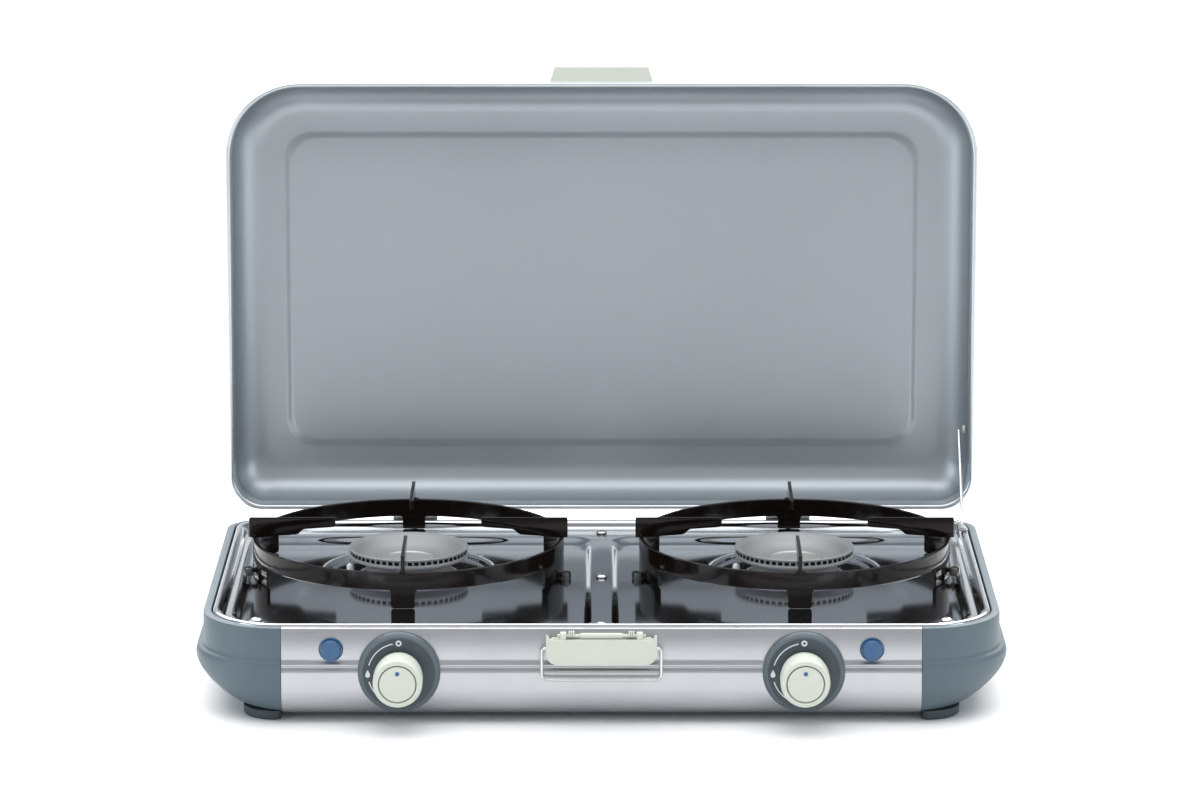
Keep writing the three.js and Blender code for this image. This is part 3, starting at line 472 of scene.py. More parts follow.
def body_shell():
    """The wrapped sheet: its front panel, with a pressed bead, runs under the stove into the rear wall."""
    bead = [(0, 43.5), (1.6, 41.2), (1.6, 40.2), (0.9, 39.1), (2.5, 36.6)]
    turn_in = [(2.5, 22), (1.2, 14.5), (-3, 8.6), (-9, 5), (-15, 4)]
    wall = rounded([(0, RIM_Z - 0.8)] + bead + turn_in, [0, 1.2, 0.5, 0.5, 0.7, 1.2, 6, 6, 5, 4, 0], 5)
    wall = [(-0.8, RIM_Z), (-0.25, RIM_Z - 0.25)] + [tuple(p) for p in wall]
    front = [(-HALF_DEPTH + CAP_FLANGE, RIM_Z)] + [(-HALF_DEPTH - out, z) for out, z in wall]
    outside = front + [(-y, z) for y, z in reversed(front)]
    section = outside + offset_line(outside, SHEET)[::-1]
    half = [26.7 * k for k in range(1, 8)] + [CAP_START_X - 0.4, CAP_START_X]
    stations = [-x for x in reversed(half)] + [0] + half
    points, faces = loft([[(x, y, z) for y, z in section] for x in stations], ends=(False, False))
    count = len(section)
    for first in (0, (len(stations) - 1) * count):
        for i in range(count // 2 - 1):
            faces.append([first + i, first + i + 1, first + count - 2 - i, first + count - 1 - i])
    piece("panel_shell", "base", Shape().add((points, faces)), [PANEL_STEEL], ["body_shell"])


CAP_PROFILE = [
    (0, 0, RIM_Z),
    (0, 0, 43.4),
    (3.6, 1.4, 41.8),
    (5.3, 2.2, 39.4),
    (5, 2.5, 35),
    (2.4, 2.5, 28.5),
    (-3.4, 2.4, 22),
    (-12.2, 0.8, 14.5),
    (-21, -3, 9),
    (-27, -8, 6.5),
]


def end_cap(word, side):
    """A moulded end: one closed skin, with a lip under the hob's rim, swept round the two corners."""
    wall = rounded(CAP_PROFILE, [0, 1.6, 1.2, 1.4, 2.5, 5, 6, 6, 6, 0], 4)
    lip = [(-CAP_FLANGE, RIM_Z - CAP_WALL), (-CAP_FLANGE, RIM_Z - 0.3), (-CAP_FLANGE + 0.3, RIM_Z)]
    lip += [(-1.2, RIM_Z), (-0.35, RIM_Z - 0.35), (0, RIM_Z - 1.2)]
    skin = [(out, out, z) for out, z in lip] + [tuple(p) for p in wall[1:]]
    start = CAP_START_X + 0.35
    middle = start - HALF_WIDTH + 0.1
    floor = CAP_PROFILE[-1][2]
    inner = [(x - CAP_WALL, y - CAP_WALL, z) for x, y, z in skin[len(lip) :] if z > floor + CAP_WALL]
    skin += [(middle, middle, floor), (middle, middle, floor + CAP_WALL)]
    skin += [(inner[-1][0], inner[-1][1], floor + CAP_WALL)] + inner[::-1]
    skin.append((-CAP_WALL, -CAP_WALL, RIM_Z - CAP_WALL))
    columns = []
    for out_side, out_front, z in skin:
        ring = base_ring(out_side, out_front, z, CAP_CORNER_STEPS)
        # the ring runs rear right, rear left, front left, front right
        corner = CAP_CORNER_STEPS + 1
        corners = ring[3 * corner :] + ring[:corner] if side > 0 else ring[corner : 3 * corner]
        columns.append([(side * start, corners[0][1], z)] + corners + [(side * start, corners[-1][1], z)])
    sections = [[column[i] for column in columns] for i in range(len(columns[0]))]
    shape = Shape().add(loft(sections))
    piece(f"cap_{word}", "base", shape, [GREY_PLASTIC], [f"end_cap_{word}"], 42)


def foot(word, side, end):
    """A rubber foot that follows the corner above it."""
    x0, x1 = CAP_START_X + 1, HALF_WIDTH - 28
    near, far = HALF_DEPTH - 9, HALF_DEPTH - 56
    corner = 22 if end < 0 else 10

    def ring(inset, z):
        left, right = (-x1 + inset, -x0 - inset) if side < 0 else (x0 + inset, x1 - inset)
        low, high = (-near + inset, -far - inset) if end < 0 else (far + inset, near - inset)
        signs = ((1, 1), (-1, 1), (-1, -1), (1, -1))
        radii = [corner if (sx == side and sy == end) else 4 for sx, sy in signs]
        return rounded_ring(left, right, low, high, z, radii, 8)

    profile = rounded([(2.2, 0), (0.4, 0), (0, 1.4), (0, 6.15)], 0.9, 3)
    shape = Shape().add(loft([ring(inset, z) for inset, z in profile]))
    # shallow grip ribs across the sole
    for k in range(5):
        y = (-near + 7 + k * 8) if end < 0 else (far + 7 + k * 8)
        shape.add(block(side * (x0 + 7) - 3, side * (x0 + 7) + 3, y, y + 3, 0.0, 1.0, 0.2))
    where = "front" if end < 0 else "rear"
    name = f"foot_{where}_{word}"
    piece(f"rubber_{name}", "base", shape, [DARK_RUBBER], [name])


# -------- hob plate
def inset_in_rectangle(x, y, x0, x1, y0, y1, radii):
    """How far a point lies inside a rectangle with round corners: radii as in rounded_ring."""
    cx, cy = (x0 + x1) / 2, (y0 + y1) / 2
    right, rear = x > cx, y > cy
    radius = radii[0 if (right and rear) else 1 if rear else 2 if not right else 3]
    dx = abs(x - cx) - (x1 - x0) / 2 + radius
    dy = abs(y - cy) - (y1 - y0) / 2 + radius
    outside = math.hypot(max(dx, 0), max(dy, 0)) + min(max(dx, dy), 0)
    return radius - outside


def well_inset(x, y):
    """Inset in the well on that side, positive inside."""
    return inset_in_rectangle(abs(x), y, *WELL_X, *WELL_Y, WELL_RADII)


def bump_at(distance, width):
    return math.exp(-((distance / width) ** 2))


CORNER_SCREW = (232, -125)
SCREWS = {
    "rear": (0, 122),
    "middle": (0, -6),
    "front": (0, -136.4),
    "corner_left": (-CORNER_SCREW[0], CORNER_SCREW[1]),
    "corner_right": CORNER_SCREW,
}


def lug_places(side):
    """Middle of each cradle of one support: [x, y, its angle, plate height there]."""
    places = []
    for out in (-1, 1):
        angle = -LUG_ANGLE if out > 0 else math.pi + LUG_ANGLE
        x = side * BURNER_X + LUG_REACH * math.cos(angle)
        y = BURNER_Y + LUG_REACH * math.sin(angle)
        places.append((x, y, angle, SHELF_Z if out == side else WELL_Z))
    return places


def hob_height(x, y):
    """Height of the plate: wells, a bead behind each, a ringed dish and opening under each burner."""
    rear = smooth((y - 85) / 15)
    z = SHELF_Z - (SHELF_Z - WELL_Z) * smooth((well_inset(x, y) + 1.2) / (5.6 + 4.4 * rear))
    # the bead fades out at its ends
    z += 0.4 * bump_at(y - BEAD_Y, 3.0) * smooth((88 - abs(abs(x) - BEAD_X)) / 26)
    r = math.hypot(abs(x) - BURNER_X, y - BURNER_Y)
    z += 1.1 * bump_at(r - DISH_RADIUS - 0.6, 1.5) - DISH_DEPTH * smooth((DISH_RADIUS - 0.4 - r) / 3.4)
    z -= 4 * smooth((BURNER_OPENING + 2.6 - r) / 2.6)
    # the corner screws stand on flat seats
    d = math.hypot(abs(x) - CORNER_SCREW[0], y - CORNER_SCREW[1])
    if d < 12:
        z += (SHELF_Z - z) * smooth((8.6 - d) / 3)
    return z


def circle(cx, cy, radius, number):
    """Points [x, y] evenly round a circle."""
    turns = [2 * math.pi * i / number for i in range(number)]
    return [(cx + radius * math.cos(a), cy + radius * math.sin(a)) for a in turns]


def electrode_distance(x, y):
    """Distance from the nearest of the holes beside the burners."""
    return math.hypot(abs(abs(x) - BURNER_X) - ELECTRODE_OFFSET, y - BURNER_Y + ELECTRODE_BACK)


def fine_points(sign):
    """Mesh points where one half of the hob plate curves."""
    points = []
    cx, cy = sign * BURNER_X, BURNER_Y
    opening = [31, 31.6, 32.2, 32.9, 33.8, 36, 43, 49]
    dish = [53, 54, 54.9, 55.7, 56.5, 57.3, 58.1, 58.8, 59.5, 60.3, 61.3, 63]
    for r in opening + dish:
        around = circle(cx, cy, r, max(24, int(2 * math.pi * r / 3.2)))
        points += [p for p in around if electrode_distance(*p) > 7.5]
    for hole_x in (-ELECTRODE_OFFSET, ELECTRODE_OFFSET):
        for r in (5, 5.5, 6.1, 7):
            points += circle(cx + hole_x, cy - ELECTRODE_BACK, r, 20)
    for inset in (-1.4, -0.6, 0.1, 0.8, 1.5, 2.2, 2.9, 3.6, 4.6):
        x0, x1, y0, y1 = WELL_X[0] + inset, WELL_X[1] - inset, WELL_Y[0] + inset, WELL_Y[1] - inset
        ring = rounded_ring(x0, x1, y0, y1, 0, [r - inset for r in WELL_RADII], 14)
        for a, b in zip(ring, ring[1:] + ring[:1]):
            number = max(1, int(math.dist(a, b) / 5))
            for k in range(number):
                t = k / number
                points.append((sign * (a[0] + (b[0] - a[0]) * t), a[1] + (b[1] - a[1]) * t))
    for row in range(-5, 6):
        points += [(sign * (BEAD_X + (k - 29.5) * 3.1), BEAD_Y + row * 1.3) for k in range(60)]
    for r in (2, 4, 5.6, 6.4, 7.2, 8, 8.8, 10):
        points += circle(sign * CORNER_SCREW[0], CORNER_SCREW[1], r, 20)
    return points


def in_fine_area(x, y):
    """Whether the plain grid of mesh points leaves this place to fine_points."""
    r = math.hypot(abs(x) - BURNER_X, y - BURNER_Y)
    return (
        abs(well_inset(x, y) - 1.6) < 4.2
        or 52 < r < 64
        or r < 38
        or electrode_distance(x, y) < 9
        or (abs(y - BEAD_Y) < 8 and abs(abs(x) - BEAD_X) < 94)
        or math.hypot(abs(x) - CORNER_SCREW[0], y - CORNER_SCREW[1]) < 12
    )


def hob_sheet(boundary, limits, radii):
    """The pressed sheet inside the rim: one smooth mesh with its openings left out."""
    points, seen = list(boundary), set()
    grid = [(i * 5.2, j * 5.2) for i in range(-52, 53) for j in range(-29, 30)]
    plain = [p for p in grid if not in_fine_area(*p)]
    for x, y in fine_points(-1) + fine_points(1) + plain:
        key = (round(x * 4), round(y * 4))
        if key not in seen and inset_in_rectangle(x, y, *limits, radii) > 1.0:
            seen.add(key)
            points.append((x, y))
    count = len(boundary)
    edges = [(i, (i + 1) % count) for i in range(count)]
    flat, _, faces, *_ = delaunay_2d_cdt([Vector(p) for p in points], edges, [], 1, 1e-4)
    kept = []
    for face in faces:
        x, y = sum((flat[i] for i in face), Vector((0, 0))) / len(face)
        in_opening = math.hypot(abs(x) - BURNER_X, y - BURNER_Y) < BURNER_OPENING - 0.1
        if not in_opening and electrode_distance(x, y) > 4.8:
            kept.append(list(face))
    heights = [SHELF_Z if i < count else hob_height(*p) for i, p in enumerate(flat)]
    return [(*p, z) for p, z in zip(flat, heights)], kept


def hob_plate():
    """The bright plate: a rolled rim, the pressed sheet and the four cradles of the supports' lugs, whose
    faces are darkened as painted shade.
    """
    edge = [(HOB_EDGE, HOB_EDGE, 62), (HOB_EDGE, HOB_EDGE, 64.6), (7.2, 6.9, 66.8), (10, 8.6, 67.3)]
    edge += [(12.6, 10.2, 65.6), (14.8, 11.6, 62.4), (17.8, 13, SHELF_Z), (20.5, 14.2, SHELF_Z)]
    profile = rounded(edge, [0, 1.2, 1.3, 1.6, 1.6, 1.7, 1.4, 0], 5)
    rings = [base_ring(-side, -front, z, 20) for side, front, z in profile]
    shape = Shape().add(loft(rings, ends=(False, False)))

    side, front, _ = profile[-1]
    x, y = HALF_WIDTH - side, HALF_DEPTH - front
    mean = -(side + front) / 2
    rear = REAR_CORNER + max(mean, -6)
    radii = (rear, rear, FRONT_CORNER + mean, FRONT_CORNER + mean)
    shape.add(hob_sheet([p[:2] for p in rings[-1]], (-x, x, -y, y), radii))

    # the cradles take paint 1, a dark steel that is painted shade
    for lx, ly, angle, base in (place for _, side in SIDES for place in lug_places(side)):
        turn = Matrix.Translation((lx, ly, 0)) @ Matrix.Rotation(angle, 4, "Z")
        foot_z, top_z = base - 0.6, base + 5
        cheek = [(-2.6, foot_z), (2.6, foot_z), (2.6, top_z), (-2.6, top_z)]
        cheek = rounded(cheek, [0, 0, 1.8, 1.8], 4, closed=True)
        for low in (-3.7, 2.5):
            shape.add(plate(cheek, lambda u, v, w, low=low: (u, low + w, v), 1.2, 0.3), paint=1, turn=turn)
        shape.add(block(-2.6, 2.6, -3.7, 3.7, foot_z, base + 0.5, 0.2), paint=1, turn=turn)
    piece("hob_top", "base", shape, [HOB_STEEL, CRADLE_PAINTED_SHADE], ["hob_plate"], sharp=50)


def pan_head(x, y):
    """A screw's domed head with a cross recess, and its shank."""
    seat, turned = SHELF_Z + 0.35, 0.35
    radius, shank, rings, spokes = 3.8, 2, 14, 48

    def height(px, py):
        r = math.hypot(px, py) / radius
        dome = seat + 2.3 * math.sqrt(max(0, 1 - (r * 0.93) ** 2))
        in_cross = min(abs(px), abs(py)) < 0.55 and max(abs(px), abs(py)) < 2.1
        return dome - 1.1 if in_cross else dome

    def ring(r, z):
        return [(px, py, z) for px, py in circle(x, y, r, spokes)]

    loops = []
    for k in range(rings + 1):
        local = circle(0, 0, 0.02 + radius * k / rings, spokes)
        c, s = math.cos(turned), math.sin(turned)
        loops.append([(x + px * c - py * s, y + px * s + py * c, height(px, py)) for px, py in local])
    rim = [(px, py, seat) for px, py, _ in loops[-1]]
    return loft(loops + [rim, ring(shank, seat), ring(shank, seat - 9)])


def hob_screws():
    for where, (x, y) in SCREWS.items():
        shape = Shape().add(pan_head(x, y))
        piece(f"screw_{where}", "base", shape, [PLATED], [f"hob_screw_{where}"], sharp=30)


# -------- burners
def burner_head(centre):
    """A cast bowl with square flame ports round its edge, below an overhanging lip."""
    ports, per_port = 56, 4
    port_top, port_low, port_back = 75.3, 73, 38.6
    lip = BURNER_RADIUS - 1.2
    angles = [2 * math.pi * (k + share) / ports for k in range(ports) for share in (0, 0.17, 0.5, 0.83)]
    bowl = [(17.6, 61.5), (17.6, 66.2), (26, 66.9), (33.4, 70.6), (37.7, 75.6)]
    edge = [(BURNER_RADIUS - 0.6, BURNER_TOP_Z), (BURNER_RADIUS, 76.7), (BURNER_RADIUS - 0.8, 75.6)]
    upper = rounded(bowl + edge, [0, 0.5, 4, 4, 1.2, 0.6, 0.4, 0], 4) + [(lip, port_top)]
    collar = [(lip, port_low), (BURNER_RADIUS, 72.4), (BURNER_RADIUS - 0.2, 70.8)]
    under = [(30, 66), (30, 50), (28.4, 50), (28.4, 58), (19.6, 63), (17.6, 61.5)]
    lower = rounded(collar + under, [0, 0.5, 0.8, 2, 0.5, 0.4, 2, 1, 0], 3)

    def ring(r, z):
        return [(centre[0] + r * math.cos(a), centre[1] + r * math.sin(a), z) for a in angles]

    shape = Shape()
    for profile in (upper, lower):
        shape.add(loft([ring(r, z) for r, z in profile], ends=(False, False)))
    outer_top, outer_low = ring(lip, port_top), ring(lip, port_low)
    back_top, back_low = ring(port_back, port_top), ring(port_back, port_low)
    lands, holes = ([], []), ([], [])

    def quad(store, *corners):
        start = len(store[0])
        store[0].extend(corners)
        store[1].append(list(range(start, start + len(corners))))

    for first in range(0, ports * per_port, per_port):
        a, b, c, d = range(first, first + per_port)
        e = (first + per_port) % len(angles)
        for p, q in ((a, b), (d, e)):
            quad(lands, outer_top[p], outer_low[p], outer_low[q], outer_top[q])
        for p, q in ((b, c), (c, d)):
            quad(holes, back_top[p], back_low[p], back_low[q], back_top[q])
            quad(holes, outer_top[p], outer_top[q], back_top[q], back_top[p])
            quad(holes, outer_low[p], back_low[p], back_low[q], outer_low[q])
        for p in (b, d):
            quad(holes, outer_top[p], back_top[p], back_low[p], outer_low[p])
    # the faces inside the ports take paint 1, near black painted shade
    return shape.add(lands).add(holes, paint=1)


def burner(word, side):
    """The head, the disc in its middle and the spark electrode beside it."""
    centre = (side * BURNER_X, BURNER_Y, 0)
    head = burner_head(centre)
    piece(f"burner_{word}", "base", head, [ALUMINIUM, PORT_PAINTED_SHADE], [f"burner_head_{word}"], 34)

    stem = [(0.01, 62.4), (17.2, 62.4), (17.2, 66.8)]
    edge = [(18.4, 67.3), (18.3, 68.9), (17.2, 69.9), (15.6, 68.6), (0.01, 68.8)]
    disc = lathe(rounded(stem + edge, [0, 0.3, 0.3, 0.4, 0.5, 0.6, 1.5, 0], 4), 96, centre)
    name = f"burner_disc_{word}"
    piece(f"burner_cap_{word}", "base", Shape().add(disc), [DISC_ALUMINIUM], [name])

    x, y = centre[0] - ELECTRODE_OFFSET, BURNER_Y - ELECTRODE_BACK
    body = [(0.01, 40), (2.6, 40), (2.6, 62), (2.62, 64.6), (0.9, 65.9), (0.01, 66)]
    shape = Shape().add(lathe(rounded(body, [0, 0.4, 0.3, 1.6, 0.6, 0], 5), 40, (x, y, 0)))
    wire = rounded([(x, y, 65), (x, y, 68.6), (x + 0.5, y, 69.8)], 0.8, 5)
    shape.add(tube(wire, 0.55, 12), paint=1)
    name = f"spark_electrode_{word}"
    piece(f"electrode_{word}", "base", shape, [CERAMIC, PLATED], [name])


# -------- pan supports
def support_band():
    """The ring with its legs and skirts: one sheet whose lower edge steps down at each leg."""
    half_leg = math.asin(LEG_WIDTH / 2 / RING_RADIUS)
    band_bottom = RING_TOP_Z - RING_BAND
    fillet, corner = 2.2, 1.4
    legs = [
        (0, SKIRT_ANGLE, WELL_Z + 0.35),
        (math.pi / 2, half_leg, SHELF_Z + 0.35),
        (math.pi, SKIRT_ANGLE, WELL_Z + 0.35),
        (1.5 * math.pi, half_leg, WELL_Z + 0.35),
    ]
    lower_edge = []
    for middle, half, low in legs:
        for sign in (-1, 1):
            # a fillet between band and leg, then the leg's eased lower corner
            side = middle + sign * half
            for t in (0, 0.4, 0.8, 1.2, math.pi / 2):
                a = side + sign * fillet / RING_RADIUS * (1 - math.sin(t))
                lower_edge.append((a, band_bottom - fillet * (1 - math.cos(t))))
            for t in (0, 0.5, 1.0, math.pi / 2):
                a = side - sign * (corner / RING_RADIUS * (1 - math.cos(t)) + 1e-5)
                lower_edge.append((a, low + corner * (1 - math.sin(t))))
        flat = half - corner / RING_RADIUS
        lower_edge += [(middle + flat * k / 8, low) for k in range(-7, 8)]
    for (m0, h0, _), (m1, h1, _) in zip(legs, legs[1:] + [(2 * math.pi, SKIRT_ANGLE, 0)]):
        a, b = m0 + h0 + fillet / RING_RADIUS, m1 - h1 - fillet / RING_RADIUS
        number = max(4, int((b - a) / math.radians(3)))
        lower_edge += [(a + (b - a) * k / number, band_bottom) for k in range(1, number)]
    lower_edge = [(a % (2 * math.pi), z) for a, z in lower_edge]
    lower_edge.sort(key=lambda c: (round(c[0], 6), c[1]))
    outer, inner, ease = RING_RADIUS, RING_RADIUS - STEEL, 0.45
    top = RING_TOP_Z
    rings = []
    for a, low in lower_edge:
        up = [(outer, low + ease), (outer, top - ease), (outer - ease, top), (inner + ease, top)]
        down = [(inner, top - ease), (inner, low + ease), (inner + ease, low), (outer - ease, low)]
        rings.append([(r * math.cos(a), r * math.sin(a), z) for r, z in up + down])
    return loft(rings + rings[:1], ends=(False, False))


def weld(x, y, z, angle, size, seed):
    """A lumpy weld bead where an arm meets the ring."""
    c, s = math.cos(angle), math.sin(angle)
    rows = []
    for i in range(1, 8):
        phi = math.pi * i / 8
        row = []
        for k in range(16):
            a = 2 * math.pi * k / 16
            lump = 1 + 0.12 * math.sin(3 * a + seed) + 0.1 * math.cos(5 * phi + 2 * a + seed * 2)
            px = size * lump * math.sin(phi) * math.cos(a)
            py = size * 1.35 * lump * math.sin(phi) * math.sin(a)
            row.append((x + px * c - py * s, y + px * s + py * c, z + size * 0.9 * lump * math.cos(phi)))
        rows.append(row)
    return loft(rows)


def pan_support(word, side):
    """The enamelled ring with its four arms, welded on, and the two lugs that stand in the cradles."""
    move = Matrix.Translation((side * BURNER_X, BURNER_Y, 0))
    shape = Shape().add(support_band(), turn=move)
    step_x = ARM_OUTER - 38
    outline = [
        (ARM_OUTER, RING_TOP_Z - 1.8),
        (ARM_OUTER, ARM_TOP_Z),
        (ARM_INNER, ARM_TOP_Z),
        (ARM_INNER, ARM_TOP_Z - 6.6),
        (step_x, RING_TOP_Z + 4.1),
        (step_x + 4, RING_TOP_Z + 0.4),
        (RING_RADIUS - 4, RING_TOP_Z - 1.8),
    ]
    outline = rounded(outline, [0.6, 1.1, 1.8, 1.8, 1.6, 1.6, 1.5], 5, closed=True)
    for quarter in range(4):
        turn = move @ Matrix.Rotation(quarter * math.pi / 2, 4, "Z")
        shape.add(plate(outline, lambda u, v, w: (u, w - STEEL / 2, v), STEEL, 0.35), turn=turn)
        for sign in (-1, 1):
            x, y = RING_RADIUS - STEEL / 2, sign * (STEEL / 2 + 0.5)
            shape.add(weld(x, y, RING_TOP_Z - 0.3, 0.2 * sign, 1.5, quarter + sign + side), turn=turn)
    for angle, on_shelf in ((-LUG_ANGLE, side > 0), (math.pi + LUG_ANGLE, side < 0)):
        z = (SHELF_Z if on_shelf else WELL_Z) + 2.7
        turn = move @ Matrix.Rotation(angle, 4, "Z")
        path = [(RING_RADIUS - 1.6, 0, z), (RING_RADIUS + 3, 0, z), (RING_RADIUS + 6.6, 0, z)]
        shape.add(tube(path, 1.9, 18), turn=turn)
    body, name = f"support_lift_{word}", f"pan_support_{word}"
    piece(f"support_{word}", body, shape, [ENAMEL], [name], sharp=40)


# -------- controls
def raised_print(outline, x, z, front, thick=0.16):
    return plate(outline, lambda u, v, w: (x + u, PANEL_Y - front - w, z + v), thick, 0)


def dial(word, side):
    """The dark disc behind a knob, its paler bevelled rim, and the printed flame scale."""
    x = side * BURNER_X
    centre = (x, PANEL_Y, CONTROL_Z)
    face_radius = 24.2
    rim = [(0.01, -1.5), (DIAL_RADIUS, -1.5), (DIAL_RADIUS, 3.2), (26.9, 4.5), (24.9, 6.3)]
    face = [(23.8, DIAL_FACE), (0.01, DIAL_FACE)]
    profile = rounded(rim + face, [0, 0, 0.9, 1.0, 0.5, 0.4, 0], 4)
    split = next(i for i, (r, front) in enumerate(profile) if r < face_radius and front > 6)
    rim = lathe(profile[: split + 1], 120, centre, forward=True, ends=(False, False))
    face = lathe(profile[split:], 120, centre, forward=True, ends=(False, True))
    shape = Shape().add(rim, paint=1).add(face)
    paints = [DIAL_FACE_PLASTIC, DIAL_RIM_PLASTIC]
    piece(f"dial_plate_{word}", "base", shape, paints, [f"dial_{word}"])

    marks = Shape()
    ring_radius = 20.8

    def mark(outline):
        marks.add(raised_print(outline, x, CONTROL_Z, DIAL_FACE - 0.04))

    def band(r0, r1, start, end, cz=0):
        steps = max(8, int(abs(end - start) / 4))
        mark(arc(0, cz, r1, start, end, steps) + arc(0, cz, r0, end, start, steps))

    def drop(angle, size):
        cx, cz = ring_radius * math.cos(math.radians(angle)), ring_radius * math.sin(math.radians(angle))
        turns = [2 * math.pi * k / 28 for k in range(28)]
        widths = [size * math.sin(t) * math.sin(t / 2) ** 1.5 for t in turns]
        mark([(cx + u, cz + 1.25 * size * math.cos(t)) for u, t in zip(widths, turns)])

    for a in range(0, 360, 90):
        band(0.95, 2.0, a, a + 90, ring_radius)
    band(20.4, 21.1, 101, 164)
    band(20.4, 21.1, 196, 238)
    drop(180, 2.2)
    drop(255, 1.3)
    piece(f"dial_marks_{word}", "base", marks, [DIAL_PRINT], sharp=20)


def knob(word, side):
    """A knob: its cup, and the insert with a blue dot set into its face."""
    x = side * BURNER_X
    body = f"knob_turn_{word}"
    centre = (x, PANEL_Y, CONTROL_Z)
    skirt = [(4, 8), (14.6, 8), (15.5, 8.6), (15.9, 13), (KNOB_RADIUS, 17), (KNOB_RADIUS, 31.2)]
    edge = [(15.9, 33.4), (14.5, KNOB_FACE), (13.0, KNOB_FACE), (12.5, KNOB_FACE - 1.4)]
    seat = [(12.3, KNOB_FACE - 3), (4, KNOB_FACE - 3)]
    radii = [0, 0.5, 0.6, 1.4, 1.4, 1.4, 1.3, 0.6, 0.4, 0.3, 0.3, 0]
    shape = Shape().add(lathe(rounded(skirt + edge + seat, radii, 5), 120, centre, forward=True))
    piece(f"knob_body_{word}", body, shape, [IVORY], [f"knob_{word}"])

    side_wall = [(0.01, KNOB_FACE - 2.6), (12.0, KNOB_FACE - 2.6), (12.05, KNOB_FACE - 0.3)]
    front = [(11.6, KNOB_FACE + 0.1), (0.01, KNOB_FACE + 0.25)]
    insert = rounded(side_wall + front, [0, 0.2, 0.4, 0.4, 0], 4)
    shape = Shape().add(lathe(insert, 96, centre, forward=True))
    dot = circle(0, 7.3, 1.5, 32)
    shape.add(raised_print(dot, x, CONTROL_Z, KNOB_FACE + 0.08, 0.2), paint=1)
    piece(f"knob_face_{word}", body, shape, [IVORY, BLUE_PRINT], [f"knob_insert_{word}"])


def igniter(word, side):
    """The piezo unit's collar in the panel and the push button in it."""
    x = side * BUTTON_X
    centre = (x, PANEL_Y, BUTTON_Z)
    barrel = [(0.01, -34), (6.2, -34), (6.2, -12), (7.9, -12), (7.9, 0)]
    flange = [(8.3, 0), (8.2, 1.0), (7.8, 1.4), (7.3, 1.4), (7.3, -10), (0.01, -10)]
    collar = rounded(barrel + flange, [0, 0.4, 0.4, 0.3, 0.2, 0.2, 0.4, 0.3, 0.3, 0.2, 0], 3)
    shape = Shape().add(lathe(collar, 72, centre, forward=True))
    piece(f"igniter_collar_{word}", "base", shape, [BLUE], [f"piezo_igniter_{word}"])

    wall = [(0.01, -5.5), (BUTTON_RADIUS, -5.5), (BUTTON_RADIUS, 2.2)]
    dome = [(6.6, 5.2), (6.1, BUTTON_FACE), (0.01, BUTTON_FACE)]
    cap = rounded(wall + dome, [0, 0.3, 1.2, 0.8, 0.4, 0], 4)
    shape = Shape().add(lathe(cap, 72, centre, forward=True))
    bolt = [(0.5, 4.3), (-1.9, -0.5), (-0.2, -0.3), (-0.9, -4.3), (1.7, 0.7), (0.1, 0.5), (1.5, 4.3)]
    shape.add(raised_print(bolt, x, BUTTON_Z, BUTTON_FACE - 0.1, 0.18), paint=1)
    body, name = f"button_push_{word}", f"igniter_button_{word}"
    piece(f"igniter_cap_{word}", body, shape, [BLUE, BLUE_PRINT], [name])


# -------- latch
def latch_bracket(pin_y, pin_z):
    """The plate on the panel with its two hooks round the latch's rod."""
    back = PANEL_Y - 0.35
    shape = Shape().add(block(-LATCH_HOOK_X - 3, LATCH_HOOK_X + 3, back - 1.2, back, 49, 59, 0.4))
    reach = [(1.4, 2.9), (-0.2, 2.8), (-1.2, 1.65), (-2.0, 0.5)]
    line = [(back - 0.4, 57), (back - 0.8, 62.0)] + [(pin_y + dy, pin_z + dz) for dy, dz in reach]
    path = rounded(line, [0, 1.2, 0.8, 0.8, 0.4, 0], 6)
    for hook_x in (-LATCH_HOOK_X, LATCH_HOOK_X):
        for offset in (-1.4, 0, 1.4):
            shape.add(tube([(hook_x + offset, y, z) for y, z in path], 0.55, 10))
    piece("latch_hooks", "base", shape, [IVORY], ["latch_bracket"])


def latch_rod(pin_y, pin_z):
    """The rod that the lever turns on, with a sleeve round its middle."""
    shape = Shape().add(tube([(-29, pin_y, pin_z), (0, pin_y, pin_z), (29, pin_y, pin_z)], 1.25, 16))
    half = [(1.3, 14.3), (1.75, 14.3), (1.75, 13.4), (1.95, 12.9)]
    sleeve = [(r, -x) for r, x in half] + half[::-1]
    shape.add(lathe(sleeve, 32), turn=lying(0, pin_y, pin_z))
    piece("latch_rod", "lever", shape, [IVORY], ["latch_pin"])


